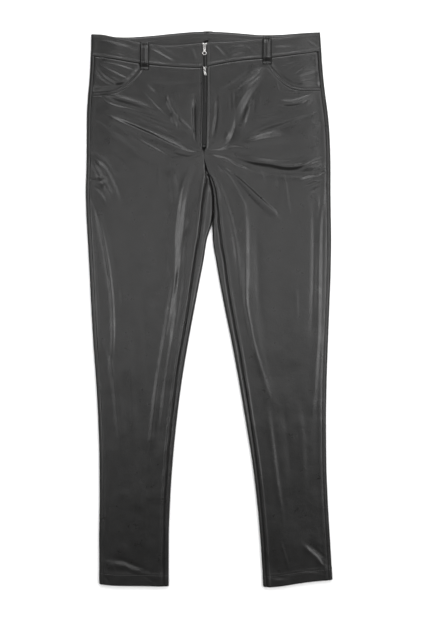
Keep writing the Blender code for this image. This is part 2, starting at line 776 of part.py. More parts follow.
def slider(spec, mat, whole):
    """Slider body with its bail, in one piece."""
    x = along(CENTRE, "front", spec.hinge_y)
    foot = max(zip_level(spec.y_top), zip_level(spec.y_low)) + SLIDER_CLEAR
    w, s = spec.width / 2, spec.shoulder / 2
    top, low = spec.y_top - spec.hinge_y, spec.y_low - spec.hinge_y
    outline = [(-s, low + 0.8), (-s + 1.0, low), (s - 1.0, low), (s, low + 0.8),
               (s, low + (top - low) * 0.45), (w, low + (top - low) * 0.78), (w - 0.6, top - 0.4),
               (w - 1.8, top), (0.7, top - 1.4), (-0.7, top - 1.4), (-w + 1.8, top),
               (-w + 0.6, top - 0.4), (-w, low + (top - low) * 0.78), (-s, low + (top - low) * 0.45)]
    body = bpy.data.objects.new(spec.name, flat_plate(spec.name, [outline], SLIDER_THICK))
    body.location = (x * MM, spec.hinge_y * MM, (foot + SLIDER_THICK / 2) * MM)
    link(body, mat, whole)
    rounded = body.modifiers.new("rounded", "BEVEL")
    rounded.width = 0.35 * MM
    rounded.segments = 1
    arch = [(0, BAIL_RADIUS, -0.6), (0, BAIL_RADIUS, BAIL_POST)]
    arch += [(0, BAIL_RADIUS * math.cos(a), BAIL_POST + BAIL_RADIUS * math.sin(a))
             for a in (math.pi / 5 * k for k in range(1, 5))]
    arch += [(0, -BAIL_RADIUS, BAIL_POST), (0, -BAIL_RADIUS, -0.6)]
    bail = bpy.data.objects.new(spec.name + "_bail", wire(spec.name + "_bail", arch, BAIL_WIRE))
    bail.location = (x * MM, spec.hinge_y * MM, (foot + SLIDER_THICK) * MM)
    bail.hide_render = True
    bail.display_type = "WIRE"
    cutters().objects.link(bail)
    joined = body.modifiers.new("bail", "BOOLEAN")
    joined.operation = "UNION"
    joined.object = bail
    return x, foot + SLIDER_THICK + HINGE_UP


def cutters():
    name = "cutters"
    if name not in bpy.data.collections:
        bpy.context.scene.collection.children.link(bpy.data.collections.new(name))
    return bpy.data.collections[name]


def pull_tab(name, x, y, z, loops, mat, whole):
    """A flat pull tab; its origin is on its hinge, and it points towards -Y."""
    tab = bpy.data.objects.new(name, flat_plate(name, loops, PULL_THICK))
    tab.location = (x * MM, y * MM, z * MM)
    tab.rotation_euler = (math.radians(PULL_TILT), 0, 0)
    return link(tab, mat, whole)


def window():
    """The hole that the bail passes through."""
    return [(-1.2, -0.5), (-1.2, -3.3), (1.2, -3.3), (1.2, -0.5)]


def upper_pull_outline():
    """A narrow neck, then a ring drawn towards a diamond."""
    neck = [(2.2, 0.5), (2.2, -3.9), (2.4, -6.4)]
    ring = [p for p in oval(0, -10.3, 4.7, 4.1, 20, 0.45) if p[1] < -7.6]
    ring.sort(key=lambda p: math.atan2(p[0], -10.3 + 4.0 - p[1]), reverse=True)
    return neck + ring + [(-x, y) for x, y in reversed(neck)]


def lower_pull_outline():
    """A slim bar that has swung a little to the left."""
    return [(-2.1, 0.5), (-2.1, -3.8), (-1.2, -5.4), (-0.6, -9.2), (0.1, -10.3), (1.6, -10.8),
            (3.1, -10.3), (3.6, -9.0), (2.7, -5.2), (2.1, -3.8), (2.1, 0.5)]


def main():
    whole = scene_start()
    cloth = {}
    for name in ("front_left", "front_right", "back_left", "back_right", "pocket_facing_left",
                 "pocket_facing_right", "waistband_left", "waistband_right", "belt_loop_front_left",
                 "belt_loop_front_right", "belt_loop_back"):
        cloth[name] = material(name, BLACK, 0.4)
    tape = material("zip_tape", (0.01, 0.01, 0.01, 1), 0.8)
    chain = material("zip_chain", (0.02, 0.02, 0.022, 1), 0.5)
    metal = [material(n, (0.72, 0.72, 0.72, 1), 0.25, 1.0)
             for n in ("zip_slider_upper", "zip_slider_lower", "zip_pull_upper", "zip_pull_lower")]
    for side in (-1, 1):
        name = side_name(side)
        front_panel(side, cloth["front_" + name], whole)
        back_panel(side, cloth["back_" + name], whole)
        pocket_facing(side, cloth["pocket_facing_" + name], whole)
        waistband(side, cloth["waistband_" + name], whole)
    for loop in FRONT_LOOPS:
        front_loop(loop, cloth[loop.name], whole)
    back_loop(cloth["belt_loop_back"], whole)
    zip_strip("zip_tape", TAPE_WIDTH, 2, -3.0, TAPE_CLOTH, ZIP_TOP_Y, ZIP_FOOT_Y, tape, whole)
    zip_strip("zip_chain", CHAIN_WIDTH, 1, -0.2, 2.4, ZIP_TOP_Y - 1, ZIP_FOOT_Y + 3, chain, whole)
    x, z = slider(SLIDERS[0], metal[0], whole)
    pull_tab("zip_pull_upper", x, SLIDERS[0].hinge_y, z,
             [upper_pull_outline(), window(), oval(0, -10.4, 2.9, 2.3, 12, 0.4)], metal[2], whole)
    x, z = slider(SLIDERS[1], metal[1], whole)
    pull_tab("zip_pull_lower", x, SLIDERS[1].hinge_y, z,
             [lower_pull_outline(), window(), oval(1.75, -8.6, 0.9, 1.0, 10)], metal[3], whole)


main()
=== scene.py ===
"""Looks of the wet-look skinny trousers, laid flat with the front up.

Every cloth piece is a fine grid on the same form as its solid, with the creases,
seams and stitches of coated cloth. Lengths in the tables are in millimetres.
Left and right are the wearer's: +X is the wearer's left, +Y is the waist.
"""
import json
import math
from collections import namedtuple

import bmesh
import bpy
import numpy as np
from mathutils import Matrix, Vector


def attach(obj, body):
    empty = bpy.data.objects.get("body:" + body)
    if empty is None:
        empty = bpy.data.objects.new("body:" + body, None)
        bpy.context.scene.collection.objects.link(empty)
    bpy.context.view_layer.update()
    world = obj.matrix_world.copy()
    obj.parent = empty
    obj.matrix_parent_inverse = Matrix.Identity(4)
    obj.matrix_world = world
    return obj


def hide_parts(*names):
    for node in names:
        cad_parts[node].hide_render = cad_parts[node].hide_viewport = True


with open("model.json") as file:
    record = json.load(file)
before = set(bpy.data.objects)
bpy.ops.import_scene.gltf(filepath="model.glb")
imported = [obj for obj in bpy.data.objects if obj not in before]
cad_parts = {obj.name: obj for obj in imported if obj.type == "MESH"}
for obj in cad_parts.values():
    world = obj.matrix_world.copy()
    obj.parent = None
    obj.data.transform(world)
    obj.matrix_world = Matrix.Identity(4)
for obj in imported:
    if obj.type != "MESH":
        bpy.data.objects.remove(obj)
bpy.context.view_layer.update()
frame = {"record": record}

MM = 0.001

# ------------------------------------------------------------- the form, in mm
CLOTH = 1.2
BAND_CLOTH = 2.2
HEM_CLOTH = 2.2
HEM_TURN = 24.0
LOOP_CLOTH = 2.4
SEAM_GAP = 0.3
BAND_PROUD = 0.5
EDGE_HEIGHT = 9.5
EDGE_RADIUS = 5.0
SIDE_SEAM_IN = 7.5
BACK_SEAM_Y = 483.6
FORK_Y = 258.7
CROTCH_Y = 290.8
BACK_CROTCH_Y = 277.0
HIP_Y = 375.7
HEM_LINE_Y = -470.0
ZIP_HALF_GAP = 3.4
ZIP_TOP_Y = 500.0
ZIP_FOOT_Y = 306.0
TAPE_WIDTH = 28.0
TAPE_CLOTH = 1.0
CHAIN_WIDTH = 5.4
FACING_DROP = 2.0
FACING_UNDER = 12.0
LOOP_WIDTH = 16.5
LOOP_LENGTH = 51.0
BACK_LOOP_LIFT = 3.1

Edge = namedtuple("Edge", "y right_out left_out")
OUTER = [
    Edge(527.0, -223.1, 209.7),
    Edge(493.0, -223.8, 212.2),
    Edge(470.0, -224.7, 213.6),
    Edge(447.5, -225.8, 215.4),
    Edge(424.8, -227.5, 217.6),
    Edge(402.0, -229.5, 220.4),
    Edge(375.7, -231.2, 224.0),
    Edge(347.4, -231.8, 226.9),
    Edge(319.0, -231.9, 228.6),
    Edge(290.8, -232.1, 229.5),
    Edge(258.7, -232.7, 229.9),
    Edge(224.7, -233.7, 229.9),
    Edge(186.9, -232.8, 230.3),
    Edge(130.3, -229.8, 231.0),
    Edge(73.6, -226.6, 230.2),
    Edge(17.0, -223.9, 228.1),
    Edge(-58.5, -219.6, 225.2),
    Edge(-134.0, -214.2, 222.6),
    Edge(-209.6, -210.0, 221.4),
    Edge(-285.0, -207.8, 221.9),
    Edge(-360.6, -207.4, 224.6),
    Edge(-436.0, -208.3, 229.0),
    Edge(-530.0, -207.7, 234.4),
]
Inner = namedtuple("Inner", "y right_in left_in right_seam left_seam")
LEGS = [
    Inner(258.7, -4.5, -4.5, 0.0, 0.0),
    Inner(243.6, 2.3, 2.3, 8.1, 2.5),
    Inner(224.7, 6.6, 6.6, 15.3, 4.0),
    Inner(205.8, 7.9, 7.9, 18.7, 5.5),
    Inner(186.9, 7.9, 7.9, 20.8, 8.0),
    Inner(164.3, 5.6, 5.6, 21.4, 12.0),
    Inner(130.3, -4.2, 6.6, 16.0, 15.5),
    Inner(92.5, -10.2, 12.6, 16.0, 15.8),
    Inner(54.8, -17.4, 19.1, 14.5, 14.0),
    Inner(17.0, -24.5, 26.2, 13.0, 12.4),
    Inner(-58.5, -38.5, 41.5, 11.0, 11.0),
    Inner(-134.0, -51.0, 55.5, 10.4, 9.8),
    Inner(-209.6, -60.8, 68.3, 10.1, 8.6),
    Inner(-285.0, -68.2, 80.6, 9.8, 7.7),
    Inner(-360.6, -73.2, 90.0, 9.5, 7.0),
    Inner(-436.0, -75.8, 96.8, 9.2, 6.4),
    Inner(-530.0, -76.1, 102.8, 9.2, 6.0),
]
Waist = namedtuple("Waist", "x front_top seam back_top")
WAIST = [
    Waist(-235.0, 519.2, 478.4, 519.2),
    Waist(-206.0, 518.0, 475.8, 519.0),
    Waist(-181.4, 513.2, 471.7, 514.8),
    Waist(-155.0, 507.9, 467.1, 514.2),
    Waist(-130.5, 502.2, 463.1, 515.4),
    Waist(-102.1, 498.6, 459.8, 517.6),
    Waist(-73.8, 497.2, 457.5, 520.4),
    Waist(-45.5, 499.2, 455.9, 522.9),
    Waist(-21.0, 501.6, 455.2, 524.1),
    Waist(-9.1, 502.8, 456.6, 524.2),
    Waist(11.1, 503.9, 460.6, 524.0),
    Waist(39.5, 504.8, 465.8, 522.9),
    Waist(67.8, 506.9, 469.5, 520.9),
    Waist(99.9, 509.8, 472.4, 518.6),
    Waist(126.3, 511.6, 475.2, 518.7),
    Waist(156.5, 515.2, 479.0, 520.6),
    Waist(182.9, 519.2, 482.8, 522.6),
    Waist(225.0, 523.8, 488.6, 524.4),
]
Mouth = namedtuple("Mouth", "x y")
RIGHT_POCKET = [
    Mouth(-240.0, 409.6), Mouth(-221.8, 408.6), Mouth(-202.2, 409.2),
    Mouth(-180.3, 412.6), Mouth(-162.2, 421.0), Mouth(-147.8, 433.0),
    Mouth(-136.9, 444.8), Mouth(-124.0, 463.0),
]
LEFT_POCKET = [
    Mouth(109.0, 472.5), Mouth(116.1, 460.0), Mouth(129.7, 443.0),
    Mouth(145.0, 428.4), Mouth(158.4, 420.8), Mouth(175.8, 417.6),
    Mouth(195.0, 417.6), Mouth(230.0, 420.6),
]
RIGHT_HEM = [
    Mouth(-212.0, -519.4), Mouth(-175.8, -522.8), Mouth(-121.0, -523.4),
    Mouth(-96.5, -524.2), Mouth(-70.0, -523.8),
]
LEFT_HEM = [
    Mouth(98.0, -524.6), Mouth(115.0, -525.6), Mouth(133.9, -524.0),
    Mouth(162.2, -519.6), Mouth(190.5, -515.6), Mouth(238.0, -511.4),
]
Middle = namedtuple("Middle", "y front back")
CENTRE = [
    Middle(527.0, -9.1, -1.1),
    Middle(441.8, -8.2, -2.4),
    Middle(394.6, -7.8, -3.6),
    Middle(347.4, -8.6, -5.0),
    Middle(304.0, -9.8, -6.2),
    Middle(290.8, -10.2, -6.2),
    Middle(275.6, -7.9, -5.4),
    Middle(258.7, -4.5, -4.5),
]
Level = namedtuple("Level", "y height")
HEIGHTS = [
    Level(527.0, 12.2),
    Level(400.0, 12.4),
    Level(258.7, 11.6),
    Level(130.0, 10.8),
    Level(0.0, 10.4),
    Level(-300.0, 10.0),
    Level(-530.0, 10.2),
]
# The largest folds, as in the solids.
Fold = namedtuple("Fold", "x0 y0 x1 y1 bow half_width rise")
FOLDS = [
    Fold(-178, 361, -32, 296, 0, 10, 2.4),
    Fold(-189, 398, -42, 338, -3, 12, -1.6),
    Fold(-166, 342, -74, 285, 0, 12, 0.9),
    Fold(-78, 398, -57, 356, 3, 8, 1.2),
    Fold(-226, 244, -196, 243, 0, 9, -1.6),
    Fold(-214, 281, -172, 203, 4, 10, 1.5),
    Fold(-221, 213, -183, 40, 8, 9, 1.3),
    Fold(-190, -60, -160, -276, 4, 9, 1.0),
    Fold(-60, 219, -67, 36, -4, 10, 1.5),
    Fold(-68, 36, -108, -250, 6, 10, 1.2),
    Fold(-30, 225, -55, 130, 4, 10, -1.4),
    Fold(94, 450, 49, 372, -8, 9, 1.9),
    Fold(50, 356, 10, 303, 12, 8, -1.5),
    Fold(138, 394, 192, 402, -4, 9, 1.3),
    Fold(60, 318, 150, 330, 4, 11, 1.3),
    Fold(75, 274, 222, 266, -8, 10, -2.0),
    Fold(8, 290, 72, 262, 0, 8, 1.5),
    Fold(30, 270, 134, 174, 0, 9, 1.8),
    Fold(18, 276, 66, 200, 4, 8, 1.6),
    Fold(66, 205, 72, 10, 0, 10, 1.8),
    Fold(74, 17, 116, -170, 0, 10, 1.2),
    Fold(211, 128, 198, -190, 4, 9, 0.9),
    Fold(180, -443, 226, -486, 0, 9, 1.2),
    Fold(-29, 398, -28, 315, 0, 8, -1.1),
    Fold(-9, 412, -9, 305, 0, 12, 0.9),
]

# The finer creases of the front: half width at each end, rise (hollows are
# negative), sharpness, and the line that each follows.
Crease = namedtuple("Crease", "name start_width end_width rise sharp path")
CREASES = [
    Crease("hip, long ridge", 5, 3, 1, 0.35, [(-190.9, 366.3), (-158.8, 353.1), (-111.6, 332.3), (-73.8, 313.4), (-36.1, 298.3), (-13.4, 295.5)]),
    Crease("hip, crest line", 2.6, 1.6, 0.5, 0.5, [(-175.8, 358.7), (-139.9, 343.6), (-98.4, 324.7), (-58.7, 304.9), (-32.3, 297.4), (-11.5, 296.4)]),
    Crease("hip, slope under the crest", 7, 4, 0.8, 0, [(-156.9, 341.7), (-130.5, 321), (-107.8, 307.7), (-85.1, 294.5)]),
    Crease("hip, hollow under the slope", 9, 6, -0.9, 0, [(-190.9, 341.7), (-158.8, 315.3), (-130.5, 292.6), (-111.6, 277.5)]),
    Crease("hip, small step", 2.2, 2, -0.3, 0.3, [(-102.1, 321), (-98.4, 311.5), (-100.3, 304)]),
    Crease("hip, second ridge", 3.5, 2.5, 0.45, 0.2, [(-111.6, 311.5), (-92.7, 298.3), (-70, 287), (-51.2, 287)]),
    Crease("hip, dark hollow to the fork", 4, 2, -0.6, 0.2, [(-70, 294.5), (-43.6, 288.9), (-24.7, 290.8), (-13.4, 294.5)]),
    Crease("fork ray, down left", 2.2, 1.3, 0.5, 0.5, [(-39.8, 277.5), (-28.5, 284.1), (-19.1, 288.9), (-11.5, 294.5)]),
    Crease("hip, upper ridge", 5, 3.5, 0.75, 0.1, [(-206, 402.1), (-183.3, 387), (-147.5, 377.6), (-111.6, 366.3), (-70, 349.3)]),
    Crease("hip, hollow under the pocket", 6, 5, -1.2, 0, [(-198.4, 404), (-172, 394.6), (-139.9, 385.2), (-102.1, 371.9)]),
    Crease("hip, hollow between", 7, 4, -1.1, 0, [(-164.4, 362.5), (-121, 345.5), (-73.8, 326.6), (-36.1, 305.9)]),
    Crease("hip, line from the waist", 3.5, 2.5, 0.6, 0.2, [(-126.7, 413.5), (-111.6, 396.5), (-92.7, 375.7), (-77.6, 362.5)]),
    Crease("hip, hollow beside it", 4, 3, -0.5, 0, [(-111.6, 407.8), (-96.5, 387), (-81.4, 371.9)]),
    Crease("hip, soft patch", 6, 5, 0.6, 0, [(-115.4, 424.8), (-100.3, 404)]),
    Crease("hip, short line", 2.5, 2, 0.3, 0.2, [(-92.7, 415.4), (-87, 398.4)]),
    Crease("pin crease", 2.2, 3.5, 1.3, 0.4, [(-79.5, 404), (-75.7, 388.9), (-68.2, 373.8), (-58.7, 360.6)]),
    Crease("pin crease, foot", 5, 3, 1.2, 0.1, [(-70, 371.9), (-64.4, 353.1), (-60.6, 341.7)]),
    Crease("pin crease, cut", 1.4, 1.2, -0.7, 0.4, [(-57.8, 370), (-57.8, 353.1), (-58.7, 341.7)]),
    Crease("patch beside the fly", 4.5, 4, 1.3, 0.1, [(-53.1, 358.7), (-41.7, 347.4), (-32.3, 338)]),
    Crease("line to the fork", 1.8, 1.5, 0.4, 0.5, [(-62.5, 343.6), (-47.4, 334.2), (-36.1, 322.8), (-24.7, 311.5)]),
    Crease("small patch by the fly", 3, 2, 0.4, 0.2, [(-41.7, 317.2), (-28.5, 305.9), (-21, 300.2)]),
    Crease("crinkle 1", 1.6, 1.4, 0.28, 0.3, [(-66.3, 411.6), (-62.5, 396.5)]),
    Crease("crinkle 2", 1.5, 1.4, 0.25, 0.3, [(-58.7, 409.7), (-54.9, 396.5)]),
    Crease("crinkle 3", 1.6, 1.5, 0.32, 0.3, [(-49.3, 413.5), (-43.6, 398.4)]),
    Crease("crinkle 4", 1.4, 1.4, 0.2, 0.3, [(-39.8, 407.8), (-36.1, 396.5)]),
    Crease("line under the band", 2, 1.6, 0.3, 0.3, [(-47.4, 413.5), (-32.3, 417.2), (-21, 420.1)]),
    Crease("dash 1", 1.8, 1.5, 0.35, 0.4, [(-51.2, 447.5), (-45.5, 439.9), (-37.9, 432.4)]),
    Crease("dash 2", 2, 1.6, -0.3, 0.3, [(-98.4, 449.3), (-87, 443.7), (-77.6, 439.9)]),
    Crease("dash 3", 1.8, 1.5, -0.28, 0.3, [(-83.3, 449.3), (-68.2, 447.5), (-60.6, 449.3)]),
    Crease("dash 4", 1.6, 1.5, -0.25, 0.3, [(-111.6, 441.8), (-100.3, 439.9)]),
    Crease("dark band under the waist", 7, 6, -0.3, 0, [(-126.7, 432.4), (-83.3, 426.7), (-26.6, 428.6)]),
    Crease("swell under it", 6, 5, 0.15, 0, [(-130.5, 417.2), (-83.3, 411.6), (-32.3, 409.7)]),
    Crease("side, soft patch", 9, 6, 1.5, 0, [(-217.3, 285.1), (-194.7, 266.2), (-175.8, 228.4), (-166.3, 202)]),
    Crease("side, edge of the patch", 2.6, 2.4, 0.5, 0.4, [(-221.1, 281.3), (-211.6, 258.7), (-198.4, 237.9), (-183.3, 213.3)]),
    Crease("side, hollow beside the patch", 5, 4, -0.8, 0.1, [(-219.2, 232.2), (-204.1, 217.1), (-192.8, 194.5)]),
    Crease("side, fan 1", 1.7, 1.7, 0.4, 0.4, [(-223.9, 311.5), (-223, 288.9), (-219.2, 266.2)]),
    Crease("side, fan 2", 1.4, 1.4, 0.35, 0.4, [(-227.9, 307.7), (-227.1, 281.3), (-225.6, 258.7)]),
    Crease("side, dent", 2.4, 2, -1, 0.3, [(-232.4, 242.6), (-223, 243.6), (-211.6, 246.4)]),
    Crease("side, dent's rim", 2.4, 2.2, 0.35, 0.2, [(-232.4, 236), (-219.2, 234.1), (-207.9, 236)]),
    Crease("thigh, broad sheen", 12, 10, 1.6, 0, [(-70, 270), (-62.5, 234.1), (-60.6, 196.4)]),
    Crease("thigh, inner ridge", 4, 4, 0.9, 0.2, [(-36.1, 266.2), (-47.4, 239.8), (-54.9, 205.8), (-60.6, 164.3), (-64.4, 120.8)]),
    Crease("thigh, inner hollow", 6, 7, -1.2, 0, [(-24.7, 270), (-36.1, 236), (-43.6, 196.4), (-49.3, 139.7), (-58.7, 45.3), (-70, -39.6)]),
    Crease("thigh, short soft line 1", 3, 3, 0.35, 0, [(-94.6, 270), (-93.6, 232.2)]),
    Crease("thigh, short soft line 2", 4, 3, 0.4, 0, [(-113.5, 281.3), (-107.8, 268.1)]),
    Crease("thigh, soft line 3", 5, 5, 0.35, 0, [(-187.1, 300.2), (-164.4, 281.3), (-149.3, 266.2)]),
    Crease("outer leg ridge", 3, 5, 1.3, 0.15, [(-221.1, 209.6), (-209.8, 179.4), (-200.3, 145.4), (-192.8, 107.6), (-187.1, 69.9), (-181.4, 17), (-179.5, -49.1), (-183.3, -124.6)]),
    Crease("outer leg hollow", 5, 7, -0.55, 0, [(-213.5, 213.3), (-194.7, 160.5), (-183.3, 107.6), (-172, 35.9), (-168.2, -39.6)]),
    Crease("outer leg second ridge", 2.6, 3.5, 0.5, 0.2, [(-221.1, 194.5), (-215.4, 111.4), (-211.6, 45.3), (-207.9, -20.8), (-206.9, -115.2), (-199.4, -188.8), (-194.7, -239.8)]),
    Crease("outer leg lower ridge", 3.5, 4.5, 0.6, 0.1, [(-193.7, -62.3), (-185.2, -92.5), (-177.7, -143.5), (-172, -207.7), (-162.6, -273.8)]),
    Crease("inner leg long ridge", 5, 5, 1.1, 0.1, [(-62.5, 130.3), (-62.5, 64.2), (-70, 17), (-79.5, -39.6), (-88.9, -96.3), (-96.5, -143.5), (-102.1, -188.8), (-107.8, -245.4), (-111.6, -300.2)]),
    Crease("inner leg hollow", 5, 5, -0.8, 0, [(-47.4, 88.7), (-56.8, 17), (-66.3, -39.6), (-77.6, -105.7), (-87, -181.2), (-96.5, -266.2)]),
    Crease("inner leg short ridge", 2.4, 2.4, 0.3, 0.2, [(-45.5, 139.7), (-54.9, 96.3), (-60.6, 60.4)]),
    Crease("shin, soft swell", 12, 10, 0.6, 0, [(-149.3, -39.6), (-143.7, -134), (-138, -247.3)]),
    Crease("shin, soft hollow", 9, 8, -0.4, 0, [(-124.8, 17), (-119.1, -77.4), (-117.2, -171.8)]),
    Crease("calf, soft line", 8, 8, 0.4, 0, [(-130.5, -266.2), (-134.2, -341.7), (-139.9, -417.2)]),
    Crease("calf, hollow", 7, 7, -0.4, 0, [(-107.8, -304), (-111.6, -379.5), (-111.6, -455)]),
    Crease("ankle, outer line", 5, 4, 0.35, 0, [(-190.9, -322.8), (-192.8, -398.4), (-194.7, -473.9)]),
    Crease("hem, fold 1", 3, 2.5, 0.5, 0.3, [(-164.4, -475.8), (-147.5, -490.9), (-131.4, -496.5), (-102.1, -500.3)]),
    Crease("hem, fold 2", 2.5, 2.2, 0.5, 0.3, [(-124.8, -506), (-111.6, -513.5), (-100.3, -520.1)]),
    Crease("hem, light patch", 8, 5, 1.2, 0, [(-185, -477), (-160, -481), (-140, -489), (-118, -495)]),
    Crease("hem, hollow", 4, 3, -0.6, 0.1, [(-200.3, -498.4), (-192.8, -507.9), (-185.2, -515.4)]),
    Crease("hem, soft line", 4, 3, 0.3, 0.1, [(-183.3, -477.7), (-175.8, -496.5)]),
    Crease("fly, left hollow", 2.6, 2.2, -1.5, 0.5, [(-27.6, 402.1), (-28.5, 366.3), (-26.6, 328.5), (-19.1, 307.7)]),
    Crease("fly, left flank", 1.7, 1.5, 0.4, 0.3, [(-20, 379.5), (-19.8, 347.4), (-17.2, 319.1)]),
    Crease("fly, pucker 1", 1.2, 1.2, 0.25, 0.4, [(-22.8, 368.2), (-20, 341.7)]),
    Crease("fly, right flank 1", 1.3, 1.3, 0.35, 0.4, [(-3.2, 417.2), (-3.6, 375.7), (-4, 326.6)]),
    Crease("fly, pucker 2", 1.3, 1.3, 0.3, 0.4, [(0.9, 371.9), (0.2, 336.1)]),
    Crease("fly, pucker 3", 1.4, 1.3, 0.35, 0.4, [(6, 368.2), (5.5, 330.4)]),
    Crease("fly, right crest", 1.8, 1.5, 0.5, 0.4, [(10.6, 398.4), (10, 371.9), (6.4, 341.7), (4.5, 322.8)]),
    Crease("fly, right hollow", 2.2, 2, -1.2, 0.5, [(14.9, 398.4), (14, 360.6), (8.3, 326.6)]),
    Crease("fly, pucker 4", 1.1, 1.1, 0.2, 0.4, [(-15.3, 360.6), (-14.5, 319.1)]),
    Crease("fork ray, up left", 1.4, 1, 0.5, 0.5, [(-21, 319.1), (-15.3, 305.9), (-10.4, 296.4)]),
    Crease("fork ray, up left 2", 1.6, 1, -0.4, 0.4, [(-26.6, 301.1), (-17.2, 298.3), (-9.6, 295.7)]),
    Crease("fork ray, up right", 1.6, 1, 0.5, 0.5, [(14.9, 319.1), (5.5, 309.6), (-4, 304), (-8.7, 296.4)]),
    Crease("fork ray, up right 2", 1.2, 1, 0.35, 0.5, [(1.7, 322.8), (-1.1, 311.5), (-6.8, 300.2)]),
    Crease("fork ray, right dark", 1.6, 2.6, -0.7, 0.3, [(-5.9, 296.4), (9.3, 297.4), (24.4, 296.4), (37.6, 297.4)]),
    Crease("fork ray, right bright", 1.3, 1.6, 0.45, 0.5, [(-5.9, 298.3), (11.1, 300.9), (28.1, 301.3)]),
    Crease("fork ray, down right", 1.6, 3.5, 1.1, 0.4, [(-7.7, 295.5), (11.1, 289.8), (31.9, 285.1), (54.6, 271.9), (77.2, 262.4)]),
    Crease("fork ray, down right dark", 2, 3, -0.7, 0.2, [(-2.1, 288.9), (20.6, 281.3), (43.2, 270), (64, 261.5)]),
    Crease("waist fold", 5.5, 4.5, 1.1, 0.15, [(99.9, 453.1), (88.5, 439.9), (69.7, 426.7), (50.8, 411.6)]),
    Crease("waist fold, foot", 3, 2.4, 0.6, 0.3, [(47, 411.6), (46.3, 390.8), (48.9, 371.9)]),
    Crease("waist fold, lower edge", 2.6, 2, 0.6, 0.4, [(86.7, 424.8), (73.4, 413.5), (60.2, 392.7), (48.9, 370)]),
    Crease("waist fold, hollow under it", 6, 5, -1, 0, [(99.9, 432.4), (81, 405.9), (67.8, 379.5), (54.6, 353.1)]),
    Crease("waist fold, hollow over it", 5, 5, -0.6, 0, [(77.2, 451.2), (58.3, 436.1), (35.7, 421), (20.6, 409.7)]),
    Crease("hip, upright 1", 1.8, 1.8, 0.45, 0.3, [(37.6, 400.3), (38.5, 371.9)]),
    Crease("hip, soft upright", 6, 6, 0.5, 0, [(20.6, 409.7), (20.6, 375.7), (18.7, 341.7)]),
    Crease("hip, upright patch", 3.2, 4.5, 1.5, 0.15, [(79.1, 390.8), (71.6, 368.2), (65.9, 345.5)]),
    Crease("hip, upright hollow", 2.5, 2.5, -0.4, 0.1, [(86.7, 398.4), (84.8, 371.9)]),
    Crease("hip, soft upright 2", 3.2, 3, 0.35, 0, [(96.1, 402.1), (97, 383.3)]),
    Crease("arc crease", 1.9, 1.6, -0.9, 0.4, [(50.8, 364.4), (48.1, 341.7), (39.5, 319.1), (25.3, 306.8), (3.6, 302.1)]),
    Crease("arc crease, inside", 4, 3, 1.3, 0.1, [(39.5, 338), (33.8, 324.7), (29.1, 315.3)]),
    Crease("under the pocket, arc", 2.6, 2.6, 0.6, 0.3, [(133.9, 394.6), (152.7, 393.1), (171.6, 397.8), (192.4, 405.9)]),
    Crease("under the pocket, hollow", 4.5, 3, -0.8, 0.1, [(135.7, 385.2), (152.7, 384.2), (173.5, 388), (190.5, 398.4)]),
    Crease("under the pocket, line", 2.4, 2.4, -0.4, 0.2, [(137.6, 409.7), (160.3, 408.8), (182.9, 411.6)]),
    Crease("pocket, V ridge", 1.9, 1.6, 0.55, 0.4, [(127.3, 430.5), (130.1, 421), (133.9, 412.5), (140.5, 422.9)]),
    Crease("hip, dark band", 6.5, 6, -1.1, 0, [(64, 321), (99.9, 336.1), (143.3, 351.2), (194.3, 368.2)]),
    Crease("hip, light band", 5, 6, 0.5, 0, [(73.4, 313.4), (99.9, 321), (133.9, 326.6)]),
    Crease("hip, line in the light band", 1.8, 1.8, 0.25, 0.3, [(77.2, 316.2), (99.9, 322.8), (118.8, 326.6)]),
    Crease("hip, patch at the fork", 5, 5, 0.7, 0, [(35.7, 304), (50.8, 306.8), (71.6, 302.1)]),
    Crease("hip, swell", 6, 5, 0.4, 0, [(86.7, 360.6), (115, 366.3), (143.3, 371.9)]),
    Crease("side, patch 1", 6, 5, 0.5, 0, [(194.3, 349.3), (211.3, 353.1)]),
    Crease("side, patch 2", 2.2, 2.2, 0.35, 0.3, [(188.6, 330.4), (201.8, 323.8), (213.2, 317.2)]),
    Crease("side, edge line", 1.3, 1.3, 0.35, 0.4, [(221.1, 383.3), (223, 338), (223.7, 300.2), (224.5, 270)]),
    Crease("thigh, ridge across", 4.5, 4, 0.4, 0.1, [(65.9, 290.8), (92.3, 285.1), (124.4, 280.4), (162.2, 282.3), (192.4, 294.5)]),
    Crease("thigh, hollow across", 5, 4.5, -1.3, 0.1, [(50.8, 285.1), (81, 275.6), (115, 270.9), (145.2, 265.3), (171.6, 268.1), (209.4, 285.1)]),
    Crease("thigh, diagonal 1", 1.8, 2.4, 1.2, 0.4, [(7.4, 281.3), (24.4, 266.2), (41.3, 246.4), (56.5, 220.9), (69.7, 194.5)]),
    Crease("thigh, diagonal 2", 2.2, 4.5, 1.3, 0.25, [(16.8, 275.6), (48.9, 253), (82.9, 222.8), (107.4, 200.1), (126.3, 181.2)]),
    Crease("thigh, hollow between diagonals", 3, 5, -0.7, 0.1, [(35.7, 258.7), (58.3, 236), (81, 209.6), (99.9, 190.7)]),
    Crease("thigh, patch", 6, 5, 0.6, 0, [(115, 196.4), (132, 179.4)]),
    Crease("thigh, patch by the fork", 5, 5, 0.35, 0, [(58.3, 247.3), (77.2, 234.1), (92.3, 213.3)]),
    Crease("leg, long ridge", 5, 5, 1, 0.1, [(67.8, 196.4), (71.6, 149.2), (71.6, 73.6), (71.6, 17), (79.1, -30.2), (86.7, -68), (101.8, -118.9), (115, -162.4)]),
    Crease("leg, inner hollow", 6, 5, -1.2, 0, [(5.5, 270), (24.4, 224.7), (39.5, 177.5), (50.8, 120.8), (58.3, 45.3)]),
    Crease("leg, hollow past the ridge", 7, 7, -0.6, 0, [(90.4, 177.5), (92.3, 111.4), (96.1, 17), (107.4, -58.5)]),
    Crease("thigh, soft upright 1", 4.5, 4.5, 0.6, 0, [(141.4, 258.7), (147.1, 224.7), (152.7, 183.1)]),
